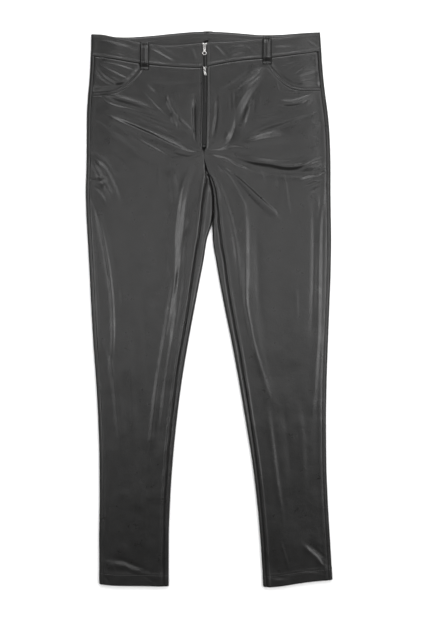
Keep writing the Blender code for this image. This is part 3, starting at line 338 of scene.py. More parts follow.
    Crease("thigh, hollow by it", 4, 4, -0.4, 0, [(130.1, 254.9), (132, 224.7)]),
    Crease("thigh, soft upright 2", 5, 5, 0.4, 0, [(99.9, 258.7), (105.5, 239.8)]),
    Crease("thigh, soft upright 3", 5, 5, 0.4, 0, [(166, 43.4), (167.8, -24.5)]),
    Crease("side slit, upper", 2, 1.6, -1.7, 0.3, [(229.2, 265.3), (216.9, 260.5), (204.7, 253.9)]),
    Crease("side slit, upper rim", 2.2, 2, 0.9, 0.3, [(226.4, 270.9), (213.2, 270), (196.2, 260.5), (186.7, 253)]),
    Crease("side slit, line between", 1.3, 1.2, 0.35, 0.4, [(222.6, 257.7), (207.5, 252), (198.1, 247.3)]),
    Crease("side, bulge over the slits", 3, 3, 1.0, 0.2, [(209.4, 280.4), (194.3, 275.6), (177.3, 264.3)]),
    Crease("side slit, lower", 2.4, 2, -1.7, 0.3, [(207.5, 242.6), (194.3, 238.8), (179.2, 232.2)]),
    Crease("side, patch over the lower slit", 4, 3.5, 1.3, 0.1, [(194.3, 251.1), (179.2, 246.4), (171.6, 239.8)]),
    Crease("side, ridge under the slit", 3.5, 3.5, 0.5, 0.1, [(213.2, 232.2), (196.2, 226.6), (182.9, 215.2)]),
    Crease("side, leg ridge", 4, 8, 0.9, 0.1, [(218.8, 247.3), (218.8, 220.9), (213.2, 177.5), (210.3, 128.4), (208.6, 35.9), (208.6, -45.3), (204.7, -96.3), (197.3, -188.8)]),
    Crease("side, leg hollow", 4.5, 5, -0.6, 0, [(196.2, 196.4), (198.1, 149.2), (198.1, 73.6), (194.3, -39.6)]),
    Crease("side, second ridge", 4, 4, 0.45, 0, [(205.6, 213.3), (207.5, 194.5), (203.7, 175.6)]),
    Crease("lower leg, long ridge", 7, 6, 0.9, 0, [(111.2, -171.8), (120.6, -247.3), (130.1, -322.8), (141.4, -398.4)]),
    Crease("lower leg, hollow", 8, 7, -0.45, 0, [(141.4, -171.8), (149, -247.3), (154.6, -322.8)]),
    Crease("lower leg, soft swell", 9, 8, 0.5, 0, [(171.6, -171.8), (179.2, -247.3), (182.9, -341.7)]),
    Crease("ankle, slanting ridge", 4.5, 3, 0.45, 0.2, [(177.3, -441.8), (190.5, -455), (203.7, -466.3), (215, -481.4), (228.3, -485.2)]),
    Crease("ankle, hollow over it", 3.5, 3, -0.4, 0.1, [(194.3, -445.6), (211.3, -460.7), (224.5, -472)]),
    Crease("hem, fold 3", 2.4, 2.4, 0.35, 0.3, [(162.2, -500.3), (186.7, -496.5), (224.5, -502.2)]),
    Crease("hem, soft patch", 4, 4, 0.8, 0, [(122.5, -509.8), (141.4, -509.8)]),
    Crease("ankle, line", 4, 3.5, 0.35, 0.1, [(135.7, -436.1), (145.2, -466.3), (150.9, -489)]),
]
FACING_CREASES = [
    Crease("facing right, ridge 1", 2.6, 3.2, 0.9, 0.2, [(-213.5, 469.2), (-190.9, 465.4), (-164.4, 458.8), (-138, 449.3)]),
    Crease("facing right, ridge 2", 2.6, 3.2, 0.8, 0.2, [(-211.6, 464.4), (-187.1, 451.2), (-160.7, 438), (-145.6, 430.5)]),
    Crease("facing right, hollow", 6, 5, -1.2, 0, [(-213.5, 458.8), (-198.4, 439.9), (-175.8, 426.7), (-156.9, 424.8)]),
    Crease("facing right, hollow 2", 2.4, 2.8, -0.6, 0.1, [(-187.1, 457.8), (-160.7, 445.6), (-141.8, 438)]),
    Crease("facing right, pucker", 1.8, 1.8, 0.8, 0.4, [(-223, 429.5), (-215.4, 427.6), (-208.8, 422), (-205, 414.4)]),
    Crease("facing right, pucker's hollow", 1.6, 1.5, -0.6, 0.3, [(-221.1, 423.9), (-215.4, 421), (-211.6, 415.4)]),
    Crease("facing right, foot swell", 3, 3, 0.5, 0, [(-198.4, 417.2), (-183.3, 417.2), (-168.2, 421)]),
    Crease("facing left, line 1", 2, 2.2, 0.8, 0.4, [(147.1, 433.3), (166, 446.5), (182.9, 458.8), (194.3, 472)]),
    Crease("facing left, patch", 3, 3, 0.8, 0.1, [(192.4, 470.1), (198.1, 477.7)]),
    Crease("facing left, dark triangle", 5, 6, -1.2, 0, [(164.1, 438), (186.7, 444.6), (209.4, 451.2)]),
    Crease("facing left, line 2", 1.7, 1.5, 0.4, 0.3, [(126.3, 466.3), (149, 469.2), (177.3, 473.9)]),
    Crease("facing left, line 3", 1.9, 1.6, 0.55, 0.3, [(132, 456), (152.7, 463.5), (177.3, 472)]),
    Crease("facing left, hollow 3", 2.6, 2.4, -0.6, 0.1, [(141.4, 449.3), (162.2, 458.8), (181.1, 468.2)]),
    Crease("facing left, crease", 2.2, 2.4, 0.8, 0.25, [(164.1, 424.8), (177.3, 431.4), (188.6, 433.3), (201.8, 438)]),
    Crease("facing left, dent", 2.6, 2.4, -1, 0.2, [(207.5, 438), (208.4, 429.5), (209.4, 422.9)]),
    Crease("facing left, soft", 3, 3, 0.4, 0, [(177.3, 423.9), (190.5, 425.7)]),
]
BAND_CREASES = [
    Crease("band right, light patch", 7, 7, 0.5, 0, [(-209.8, 511.6), (-183.3, 504.1), (-156.9, 496.5), (-141.8, 490.9)]),
    Crease("band right, dark patch 1", 5, 4, -0.7, 0, [(-187.1, 487.1), (-172, 487.1), (-155, 481.4)]),
    Crease("band right, dark patch 2", 4, 4, -0.5, 0, [(-149.3, 481.4), (-138, 483.3)]),
    Crease("band right, upright", 3, 3, 0.3, 0.1, [(-213.5, 507.9), (-213.5, 489)]),
    Crease("band right, wedge", 4, 3, -1, 0.15, [(-109.7, 502.2), (-92.7, 490.9), (-73.8, 479.6), (-58.7, 472)]),
    Crease("band right, bright fold", 3, 2.2, 1, 0.2, [(-109.7, 491.8), (-92.7, 482.4), (-77.6, 473.9), (-62.5, 465.4)]),
    Crease("band right, hollow under it", 4, 3, -0.7, 0, [(-107.8, 477.7), (-92.7, 470.1), (-77.6, 464.4)]),
    Crease("band right, patch 3", 4, 4, 0.5, 0, [(-58.7, 494.7), (-47.4, 489)]),
    Crease("band right, patch by the zip", 4, 4.5, 0.6, 0, [(-32.3, 494.7), (-26.6, 479.6), (-22.8, 466.3)]),
    Crease("band left, light wedge", 4.5, 3.5, 0.9, 0.1, [(9.3, 500.3), (20.6, 489), (31.9, 475.8)]),
    Crease("band left, dark blob", 6, 6, -0.9, 0, [(39.5, 481.4), (54.6, 489), (71.6, 489)]),
    Crease("band left, line from top", 2.2, 1.8, 0.45, 0.3, [(37.6, 490.9), (45.1, 496.5), (58.3, 503.2)]),
    Crease("band left, soft line", 2.6, 2.2, 0.35, 0.2, [(71.6, 496.5), (81, 487.1), (92.3, 479.6)]),
    Crease("band left, line over the seam", 1.8, 1.8, 0.5, 0.3, [(58.3, 473.1), (77.2, 475.2), (99.9, 476.5)]),
    Crease("band left, light bar", 4.5, 4.5, 0.5, 0, [(124.4, 495.6), (143.3, 495.6), (160.3, 496.5)]),
    Crease("band left, hollow", 3.5, 3.5, -0.4, 0, [(126.3, 485.2), (152.7, 487.1), (179.2, 490.9)]),
    Crease("band left, end patch", 3, 3, 0.6, 0.1, [(188.6, 506), (198.1, 500.3), (207.5, 494.7)]),
    Crease("band left, top line", 1.8, 1.8, 0.3, 0.2, [(124.4, 509.8), (143.3, 511.6), (158.4, 512.6)]),
]
# Creases of the back, which lies on the surface: they lift off it a little.
BACK_CREASES = [
    Crease("seat right, from the fork", 7, 12, 1.1, 0.2, [(-14, 268), (-60, 288), (-118, 322), (-170, 352)]),
    Crease("seat right, under it", 6, 10, 0.8, 0.2, [(-16, 262), (-70, 270), (-130, 284)]),
    Crease("seat right, upper", 8, 12, 0.7, 0.0, [(-40, 380), (-100, 398), (-170, 400)]),
    Crease("seat left, from the fork", 7, 12, 1.1, 0.2, [(8, 268), (52, 292), (104, 330), (150, 366)]),
    Crease("seat left, under it", 6, 10, 0.9, 0.2, [(8, 261), (66, 262), (128, 276)]),
    Crease("seat left, upper", 8, 12, 0.6, 0.0, [(42, 392), (96, 402), (160, 396)]),
    Crease("thigh right, from the fork", 6, 11, 0.9, 0.2, [(-16, 240), (-52, 200), (-84, 150)]),
    Crease("thigh left, from the fork", 6, 11, 0.9, 0.2, [(16, 240), (56, 204), (94, 152)]),
    Crease("back of knee right, 1", 7, 9, 1.0, 0.2, [(-196, 6), (-140, -6), (-84, 4)]),
    Crease("back of knee right, 2", 6, 8, 0.8, 0.2, [(-200, -26), (-150, -34), (-96, -22)]),
    Crease("back of knee right, 3", 6, 8, 0.6, 0.1, [(-196, 40), (-150, 34), (-110, 42)]),
    Crease("back of knee left, 1", 7, 9, 1.0, 0.2, [(206, 2), (150, -10), (92, 4)]),
    Crease("back of knee left, 2", 6, 8, 0.8, 0.2, [(208, -32), (158, -40), (104, -28)]),
    Crease("back of knee left, 3", 6, 8, 0.5, 0.1, [(204, 36), (160, 30), (118, 40)]),
    Crease("calf right", 10, 10, 0.6, 0.0, [(-150, -120), (-146, -240), (-142, -360)]),
    Crease("calf left", 10, 10, 0.6, 0.0, [(160, -130), (166, -250), (172, -370)]),
    Crease("ankle right", 6, 8, 0.7, 0.1, [(-190, -440), (-150, -452), (-110, -446)]),
    Crease("ankle left", 6, 8, 0.7, 0.1, [(212, -430), (174, -446), (132, -444)]),
]

# Zip sliders and their pull tabs.
Slider = namedtuple("Slider", "name y_top y_low width shoulder hinge_y")
SLIDERS = [
    Slider("zip_slider_upper", 501.6, 489.0, 9.0, 6.6, 492.4),
    Slider("zip_slider_lower", 457.2, 448.4, 6.4, 5.2, 450.6),
]
SLIDER_THICK = 2.2
SLIDER_CLEAR = 0.8
BAIL_RADIUS = 1.9
BAIL_WIRE = 0.55
BAIL_POST = 0.8
PULL_THICK = 1.0
PULL_TILT = 7.0


# ---------------------------------------------------------------- the form
def column(table, key, by="y"):
    """A named column of a table as a smooth curve that never overshoots."""
    rows = sorted(table, key=lambda r: getattr(r, by))
    xs = np.array([getattr(r, by) for r in rows], float)
    vs = np.array([getattr(r, key) for r in rows], float)
    steps = np.diff(vs) / np.diff(xs)
    slope = np.empty(len(xs))
    slope[0], slope[-1] = steps[0], steps[-1]
    a, b = steps[:-1], steps[1:]
    total = np.where(np.abs(a + b) < 1e-12, 1.0, a + b)
    slope[1:-1] = np.where(a * b <= 0, 0.0, 2 * a * b / total)

    def at(q):
        q = np.clip(np.asarray(q, float), xs[0], xs[-1])
        i = np.clip(np.searchsorted(xs, q, side="right") - 1, 0, len(xs) - 2)
        h = xs[i + 1] - xs[i]
        t = (q - xs[i]) / h
        return (vs[i] * (2 * t**3 - 3 * t**2 + 1) + slope[i] * h * (t**3 - 2 * t**2 + t)
                + vs[i + 1] * (3 * t**2 - 2 * t**3) + slope[i + 1] * h * (t**3 - t**2))
    return at


OUT = {1: column(OUTER, "left_out"), -1: column(OUTER, "right_out")}
LEG_IN = {1: column(LEGS, "left_in"), -1: column(LEGS, "right_in")}
LEG_SEAM = {1: column(LEGS, "left_seam"), -1: column(LEGS, "right_seam")}
MIDDLE = {False: column(CENTRE, "front"), True: column(CENTRE, "back")}
HEIGHT = column(HEIGHTS, "height")
WAIST_LINE = {k: column(WAIST, k, "x") for k in ("front_top", "seam", "back_top")}
POCKET = {1: column(LEFT_POCKET, "y", "x"), -1: column(RIGHT_POCKET, "y", "x")}
POCKET_END = {1: LEFT_POCKET[0].x, -1: RIGHT_POCKET[-1].x}
HEM = {1: column(LEFT_HEM, "y", "x"), -1: column(RIGHT_HEM, "y", "x")}
BACK_X = float(MIDDLE[True](500.0))


def ease(t):
    t = np.clip(t, 0.0, 1.0)
    return t * t * (3 - 2 * t)


def bump(d, width):
    return np.exp(-((d / width) ** 2))


def side_name(side):
    return "left" if side > 0 else "right"


def inner_x(side, y, back=False):
    return np.where(y >= FORK_Y, MIDDLE[back](y), LEG_IN[side](y)) + side * SEAM_GAP / 2


def inseam_in(side, y):
    return np.where(y >= FORK_Y, 0.0, LEG_SEAM[side](y))


# A fold that shows bright has its lit slope along its line, and one that shows
# dark its shaded slope. Slopes are lit when they face this way across the cloth.
LIT = (0.12, 0.99)


def fold_rise(x, y):
    total = np.zeros_like(x)
    for f in FOLDS:
        dx, dy = f.x1 - f.x0, f.y1 - f.y0
        length = math.hypot(dx, dy)
        t = ((x - f.x0) * dx + (y - f.y0) * dy) / length**2
        off = ((y - f.y0) * dx - (x - f.x0) * dy) / length - f.bow * 4 * t * (1 - t)
        fade = ease((t + 0.15) / 0.4) * ease((1.15 - t) / 0.4)
        facing = (dx * LIT[1] - dy * LIT[0]) / length
        r = off / f.half_width
        shape = (1 - 0.7 * abs(facing)) - 1.2 * facing * r
        total += np.where((t > -0.2) & (t < 1.2), f.rise * shape * bump(off, f.half_width) * fade, 0.0)
    return total


def smooth_path(points, step=3.0):
    """Points along a Catmull-Rom curve through the given ones."""
    pts = np.array(points, float)
    if len(pts) == 2:
        n = max(2, int(np.hypot(*(pts[1] - pts[0])) / step) + 1)
        return pts[0] + (pts[1] - pts[0]) * np.linspace(0, 1, n)[:, None]
    ends = np.vstack([2 * pts[0] - pts[1], pts, 2 * pts[-1] - pts[-2]])
    out = []
    for i in range(1, len(ends) - 2):
        p0, p1, p2, p3 = ends[i - 1:i + 3]
        n = max(2, int(np.hypot(*(p2 - p1)) / step) + 1)
        t = np.linspace(0, 1, n, endpoint=False)[:, None]
        out.append(0.5 * (2 * p1 + (p2 - p0) * t + (2 * p0 - 5 * p1 + 4 * p2 - p3) * t**2
                          + (3 * p1 - p0 - 3 * p2 + p3) * t**3))
    out.append(pts[-1:])
    return np.vstack(out)


def crease_rise(table, x, y):
    """Height that the finer creases add, each fading out at both ends."""
    total = np.zeros_like(x)
    for c in table:
        path = smooth_path(c.path)
        wide = 3.2 * max(c.start_width, c.end_width)
        near = ((x > path[:, 0].min() - wide) & (x < path[:, 0].max() + wide)
                & (y > path[:, 1].min() - wide) & (y < path[:, 1].max() + wide))
        if not near.any():
            continue
        px, py = x[near], y[near]
        seg = np.diff(path, axis=0)
        length = np.hypot(seg[:, 0], seg[:, 1])
        start = np.concatenate([[0], np.cumsum(length)])
        best = np.full(px.shape, 1e9)
        where = np.zeros(px.shape)
        turned = np.zeros(px.shape)
        crossed = np.zeros(px.shape)
        for k in range(len(seg)):
            t = ((px - path[k, 0]) * seg[k, 0] + (py - path[k, 1]) * seg[k, 1]) / length[k]**2
            t = np.clip(t, 0, 1)
            d = np.hypot(px - path[k, 0] - t * seg[k, 0], py - path[k, 1] - t * seg[k, 1])
            closer = d < best
            ahead = (seg[k, 0] * LIT[1] - seg[k, 1] * LIT[0]) / length[k]
            left = np.sign(seg[k, 0] * (py - path[k, 1]) - seg[k, 1] * (px - path[k, 0]))
            turned = np.where(closer, ahead * left, turned)
            crossed = np.where(closer, -seg[k, 1] / length[k] * left, crossed)
            best = np.where(closer, d, best)
            where = np.where(closer, start[k] + t * length[k], where)
        along = where / start[-1]
        width = c.start_width + (c.end_width - c.start_width) * along
        # The line thins out towards its ends, and past them it closes.
        fade = 0.25 + 0.75 * ease(along / 0.3) * ease((1 - along) / 0.3)
        r = best / width
        soft = np.exp(-(r**2))
        keen = np.exp(-1.35 * (np.sqrt(r**2 + 0.06) - 0.245))
        sharp = max(c.sharp, 0.4) if c.rise < 0 else c.sharp
        shape = soft * (1 - sharp) + keen * soft**0.35 * sharp
        # A fold that runs across the light is a step that faces it. One that
        # runs along the light is a ridge that leans to the left, or a hollow.
        # Broad folds are the taller ones.
        keen_step = np.tanh((1 + 1.6 * c.sharp) * r) * soft
        lean = 0.7 * shape - 1.1 * crossed * keen_step if c.rise > 0 else 1.6 * shape
        tall = np.clip(0.5 + 0.25 * width, 1.0, 2.6)
        total[near] += c.rise * fade * (lean * (1 - np.abs(turned)) - 0.8 * tall * turned * keen_step)
    return total


def waves(x, y, size, seed):
    """Smooth noise of a given size in mm, from -1 to 1."""
    rng = np.random.default_rng(seed)
    table = rng.uniform(-1, 1, (64, 64))
    u, v = x / size + 1000.37, y / size + 1000.71
    i, j = np.floor(u).astype(int), np.floor(v).astype(int)
    fu, fv = ease(u - i), ease(v - j)
    i, j = i % 64, j % 64
    i1, j1 = (i + 1) % 64, (j + 1) % 64
    return ((table[i, j] * (1 - fu) + table[i1, j] * fu) * (1 - fv)
            + (table[i, j1] * (1 - fu) + table[i1, j1] * fu) * fv)


def top_z(side, x, y, fine=False):
    """Height of the front's face. fine adds the smaller creases."""
    out = np.abs(OUT[side](y) - x)
    legs = ease((FORK_Y + 40 - y) / 60)
    inn = np.abs(x - inner_x(side, y))
    inside = (1 - legs) + legs * ease(inn / 50)
    crown = HEIGHT(y) - EDGE_HEIGHT
    hold = ease((out - 7) / 18) * ((1 - legs) + legs * ease((inn - inseam_in(side, y) - 1) / 12))
    z = EDGE_HEIGHT + crown * ease(out / 50) * inside + fold_rise(x, y) * hold
    if fine:
        keep = 0.35 + 0.65 * ease((out - 3) / 9)
        keep = keep * ((1 - legs) + legs * ease((inn - inseam_in(side, y) + 4) / 9))
        z = z + crease_rise(CREASES, x, y) * keep
        z = z + keep * (0.34 * waves(x, y, 46, 3) + 0.13 * waves(x, y, 17, 5)
                        + 0.22 * waves(x * 1.0, y * 0.3, 15, 8) * ease((150 - y) / 200))
    return z


def sink(y, start, full):
    return np.where(y >= start, 0.0, full * ease((start - y) / (start - FORK_Y)) ** 2.4)


def back_lift(x, y):
    """The back rises gently over the belt loop that lies under it."""
    off = np.abs(x - MIDDLE[True](y))
    return BACK_LOOP_LIFT * ease((62 - off) / 51) * ease((y - 424) / 40)


Section = namedtuple("Section", "x_in x_back x_out mid ka kb q1 flat q3 under q5 total seam")


def section(side, y):
    """Lengths along one half's section at each level."""
    r = EDGE_RADIUS
    x_in, x_back, x_out = inner_x(side, y), inner_x(side, y, True), OUT[side](y)
    mid = top_z(side, x_in + side * r, y) / 2
    ka = np.where(y >= FORK_Y, sink(y, CROTCH_Y, 1.0), 1.0)
    kb = np.where(y >= FORK_Y, sink(y, BACK_CROTCH_Y, 1.0), 1.0)
    q1 = r * (1 + (math.pi / 2 - 1) * ka)
    q5 = r * (1 + (math.pi / 2 - 1) * kb)
    flat, under = np.abs(x_out - x_in) - 2 * r, np.abs(x_out - x_back) - 2 * r
    q3 = math.pi * r * np.ones_like(y)
    d = inseam_in(side, y)
    bend = q1 * np.arccos(np.clip(1 - d / r, 0, 1)) / (math.pi / 2)
    seam = np.where(d >= r, q1 + d - r, bend)
    return Section(x_in, x_back, x_out, mid, ka, kb, q1, flat, q3, under, q5,
                   q1 + flat + q3 + under + q5, seam)


def on_form(side, s, y, fine=True, back_table=BACK_CREASES):
    """The point of the form at a length along the section, and its turn: 0 on
    the front's face, 1 underneath, 2 where it comes over the inner edge."""
    r = EDGE_RADIUS
    c = section(side, y)
    over = s > c.total
    s = np.where(over, s - c.total, s)
    a1, a2 = c.q1, c.q1 + c.flat
    a3, a4 = a2 + c.q3, a2 + c.q3 + c.under
    # inner edge, on top
    f = np.clip(s / c.q1, 0, 1)
    xf = (1 - c.ka) * f + c.ka * (1 - np.cos(math.pi / 2 * f))
    x_a = c.x_in + side * r * xf
    z_a = -c.mid * c.ka * (1 - np.sqrt(np.clip(1 - (1 - xf) ** 2, 0, 1)))
    x_b = c.x_in + side * (r + np.clip(s - a1, 0, c.flat))
    first = s < a1
    x_top = np.where(first, x_a, x_b)
    z_top = top_z(side, x_top, y, fine) + np.where(first, z_a, 0.0)
    # outer edge
    edge_x = c.x_out - side * r
    half = top_z(side, edge_x, y, fine) / 2
    g = np.clip((s - a2) / c.q3, 0, 1)
    x_e = c.x_out - side * r * (1 - np.sin(math.pi * g))
    z_e = half * (1 + np.cos(math.pi * g))
    # underneath
    x_u = edge_x - side * np.clip(s - a3, 0, c.under)
    f = np.clip((c.total - s) / c.q5, 0, 1)
    xf = (1 - c.kb) * f + c.kb * (1 - np.cos(math.pi / 2 * f))
    last = s > a4
    x_u = np.where(last, c.x_back + side * r * xf, x_u)
    z_u = np.where(last, c.mid * c.kb * (1 - np.sqrt(np.clip(1 - (1 - xf) ** 2, 0, 1))), 0.0)
    z_u = z_u + back_lift(x_u, y)
    if fine and back_table:
        inside = ease((s - a3 - 6) / 20) * ease((c.total - 8 - s) / 20)
        lift = crease_rise(back_table, x_u, y) + 0.25 * np.clip(waves(x_u, y, 52, 21), 0, 1)
        z_u = z_u + lift * inside * ease((470 - y) / 20) * ease((y + 500) / 20)
    x = np.where(s <= a2, x_top, np.where(s <= a3, x_e, x_u))
    z = np.where(s <= a2, z_top, np.where(s <= a3, z_e, z_u))
    turn = np.where(over, 2.0, np.where(s <= a2, 0.0, np.where(s <= a3, g, 1.0)))
    return x, z, turn


def front_top_y(side, x):
    seam = WAIST_LINE["seam"](x)
    past = (x - POCKET_END[side]) * side > 0
    return np.where(past, np.minimum(seam, POCKET[side](x)), seam) - SEAM_GAP / 2


def seam_level(side, x, turn, key):
    front = WAIST_LINE[key](x)
    if key == "seam":
        side_x = float(OUT[side](480.0)) - side * EDGE_RADIUS
        share = (x - BACK_X) / (side_x - BACK_X)
        back = BACK_SEAM_Y + (float(WAIST_LINE["seam"](side_x)) - BACK_SEAM_Y) * share
    else:
        back = WAIST_LINE["back_top"](x)
    return front + (back - front) * np.minimum(1.0, turn)


# ------------------------------------------------------------- mesh building
def grid_normals(p):
    du = np.empty_like(p)
    du[:, 1:-1] = p[:, 2:] - p[:, :-2]
    du[:, 0], du[:, -1] = p[:, 1] - p[:, 0], p[:, -1] - p[:, -2]
    dv = np.empty_like(p)
    dv[1:-1] = p[2:] - p[:-2]
    dv[0], dv[-1] = p[1] - p[0], p[-1] - p[-2]
    n = np.cross(du, dv)
    return n / np.maximum(np.linalg.norm(n, axis=2, keepdims=True), 1e-9)


def mesh_object(name, verts, faces, mats, face_mats=None, smooth=True):
    mesh = bpy.data.meshes.new(name)
    mesh.from_pydata((np.asarray(verts) * MM).tolist(), [], faces)
    mesh.update()
    for m in mats:
        mesh.materials.append(m)
    if face_mats is not None:
        mesh.polygons.foreach_set("material_index", np.asarray(face_mats, np.int32))
    mesh.polygons.foreach_set("use_smooth", np.full(len(mesh.polygons), smooth))
    mesh.update()
    obj = bpy.data.objects.new(name, mesh)
    bpy.context.scene.collection.objects.link(obj)
    return obj


def shell(name, p, outward, thick, mats, bulge=0.35):
    """A closed cloth piece from a grid of outside points: thickened inwards,
    its edges rounded. The inner face takes the second material. Returns the
    object, the outside points and the outward normals."""
    rows, cols = p.shape[:2]
    n = grid_normals(p)
    flip = float((n * outward(p)).sum()) < 0
    if flip:
        n = -n
    thick = np.broadcast_to(np.asarray(thick, float), (rows, cols))
    inner = p - n * thick[..., None]
    # outline of the grid, in order
    ring = ([(0, c) for c in range(cols)] + [(r, cols - 1) for r in range(1, rows)]
            + [(rows - 1, c) for c in range(cols - 2, -1, -1)] + [(r, 0) for r in range(rows - 2, 0, -1)])
    ri = np.array([a for a, _ in ring])
    ci = np.array([b for _, b in ring])
    rin = np.clip(ri, 1, rows - 2)
    cin = np.clip(ci, 1, cols - 2)
    out_dir = p[ri, ci] - p[rin, cin]
    nn = n[ri, ci]
    out_dir -= nn * (out_dir * nn).sum(axis=1, keepdims=True)
    out_dir /= np.maximum(np.linalg.norm(out_dir, axis=1, keepdims=True), 1e-9)
    t = thick[ri, ci][:, None]
    loop_a = p[ri, ci] - nn * t * 0.22 + out_dir * t * bulge * 0.8
    loop_b = p[ri, ci] - nn * t * 0.78 + out_dir * t * bulge * 0.8
    count = rows * cols
    verts = np.vstack([p.reshape(-1, 3), inner.reshape(-1, 3), loop_a, loop_b])
    idx = np.arange(count).reshape(rows, cols)
    a, b, c, d = idx[:-1, :-1], idx[:-1, 1:], idx[1:, 1:], idx[1:, :-1]
    quad = np.stack([a, b, c, d], axis=-1).reshape(-1, 4)
    top = quad if not flip else quad[:, ::-1]
    low = (quad[:, ::-1] if not flip else quad) + count
    m = len(ring)
    edge_out = idx[ri, ci]
    la = 2 * count + np.arange(m)
    lb = la + m
    nxt = (np.arange(m) + 1) % m
    strips = []
    for first, second in ((edge_out, la), (la, lb), (lb, edge_out + count)):
        q = np.stack([first, second, second[nxt], first[nxt]], axis=-1)
        strips.append(q if not flip else q[:, ::-1])
    faces = np.vstack([top, low] + strips)
    mats_of = np.zeros(len(faces), np.int32)
    mats_of[len(top):len(top) + len(low)] = 1
    obj = mesh_object(name, verts, faces.tolist(), mats, mats_of)
    return obj, p, n


def upwards(p):
    return np.broadcast_to(np.array([0.0, 0.0, 1.0]), p.shape)


def from_middle(side):
    def outward(p):
        y = p[..., 1]
        x = (OUT[side](y) + inner_x(side, y)) / 2
        half = np.abs(OUT[side](y) - inner_x(side, y)) / 2
        return np.stack([(p[..., 0] - x) * 20 / half, np.zeros_like(y), p[..., 2] - 5], axis=-1)
    return outward


def steps_between(start, end, near_start, near_end, pitch):
    """Distances from start to end, close together near both ends."""
    head = [start + d for d in near_start]
    tail = [end - d for d in near_end]
    n = max(2, int(round((tail[0] - head[-1]) / pitch)))
    return head + [head[-1] + (tail[0] - head[-1]) * k / n for k in range(1, n)] + tail


FINE_ENDS = (0.0, 0.5, 1.1, 1.8, 2.7, 3.8, 5.2)
LAST_ENDS = FINE_ENDS[::-1]


# --------------------------------------------------------------- stitching
def interp_grid(p, r, c):
    """Points of a grid at fractional rows and columns."""
    r = np.clip(r, 0, p.shape[0] - 1.001)
    c = np.clip(c, 0, p.shape[1] - 1.001)
    i, j = np.floor(r).astype(int), np.floor(c).astype(int)
    fr, fc = (r - i)[:, None], (c - j)[:, None]
    return ((p[i, j] * (1 - fc) + p[i, j + 1] * fc) * (1 - fr)
            + (p[i + 1, j] * (1 - fc) + p[i + 1, j + 1] * fc) * fr)


def row_at(p, col, dist, from_end=False):
    """Fractional row of a column at a distance along it from its top."""
    line = p[:, col]
    step = np.linalg.norm(np.diff(line, axis=0), axis=1)
    run = np.concatenate([[0], np.cumsum(step)])
    if from_end:
        dist = run[-1] - dist
    return float(np.interp(dist, run, np.arange(len(run))))


def col_at(p, row, dist, from_end=False):
    line = p[row]
    step = np.linalg.norm(np.diff(line, axis=0), axis=1)
    run = np.concatenate([[0], np.cumsum(step)])
    if from_end:
        dist = run[-1] - dist
    return float(np.interp(dist, run, np.arange(len(run))))


def line_along_rows(p, n, dist, first=0, last=None, from_end=False):
    """A line at a distance from the grid's top (or bottom) edge."""
    last = p.shape[1] - 1 if last is None else last
    cols = np.arange(first, last + 1)
    rows = np.array([row_at(p, c, dist, from_end) for c in cols])
    return interp_grid(p, rows, cols.astype(float)), interp_grid(n, rows, cols.astype(float))


def line_along_cols(p, n, dist, first=0, last=None, from_end=False):
    last = p.shape[0] - 1 if last is None else last
    rows = np.arange(first, last + 1)
    cols = np.array([col_at(p, r, dist, from_end) for r in rows])
    return interp_grid(p, rows.astype(float), cols), interp_grid(n, rows.astype(float), cols)


def stitch_row(store, line, pitch=3.3, length=2.5, radius=0.34, proud=0.12):
    """Stitches, one after another, half sunk in the cloth along a line."""
    pts, nrm = line
    step = np.linalg.norm(np.diff(pts, axis=0), axis=1)
    run = np.concatenate([[0], np.cumsum(step)])
    count = int(run[-1] / pitch)
    if count < 1:
        return
    at = (np.arange(count) + 0.5) * run[-1] / count
    mid = np.stack([np.interp(at, run, pts[:, k]) for k in range(3)], axis=1)
    nn = np.stack([np.interp(at, run, nrm[:, k]) for k in range(3)], axis=1)
    nn /= np.linalg.norm(nn, axis=1, keepdims=True)
    ahead = np.stack([np.interp(np.minimum(at + 0.6, run[-1]), run, pts[:, k]) for k in range(3)], axis=1)
    behind = np.stack([np.interp(np.maximum(at - 0.6, 0), run, pts[:, k]) for k in range(3)], axis=1)
    tt = ahead - behind
    tt -= nn * (tt * nn).sum(axis=1, keepdims=True)
    tt /= np.maximum(np.linalg.norm(tt, axis=1, keepdims=True), 1e-9)
    bb = np.cross(nn, tt)
    sides = 6
    stations = [(-0.5, 0.0), (-0.38, 0.75), (0.0, 1.0), (0.38, 0.75), (0.5, 0.0)]
    ring = [(math.cos(2 * math.pi * k / sides), math.sin(2 * math.pi * k / sides)) for k in range(sides)]
    verts, faces = [], []
    local = [(stations[0][0] * length, 0.0, 0.0)]
    for u, w in stations[1:-1]:
        local += [(u * length, a * w * radius, b * w * radius * 0.8) for a, b in ring]
    local.append((stations[-1][0] * length, 0.0, 0.0))
    local = np.array(local)
    tri = []
    for k in range(sides):
        k2 = (k + 1) % sides
        tri.append((0, 1 + k2, 1 + k))
        for s in range(2):
            o = 1 + s * sides
            tri.append((o + k, o + k2, o + sides + k2, o + sides + k))
        o = 1 + 2 * sides
        tri.append((o + k, o + k2, len(local) - 1))
    for i in range(count):
        centre = mid[i] + nn[i] * proud
        v = centre + local[:, :1] * tt[i] + local[:, 1:2] * bb[i] + local[:, 2:] * nn[i]
        o = store["count"]
        store["verts"].append(v)
        store["faces"] += [tuple(o + q for q in f) for f in tri]
        store["count"] += len(v)


def new_store():
    return {"verts": [], "faces": [], "count": 0}


def stitches_object(name, store, mat, body="root"):
    obj = mesh_object(name, np.vstack(store["verts"]), store["faces"], [mat])
    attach(obj, body)
    return obj


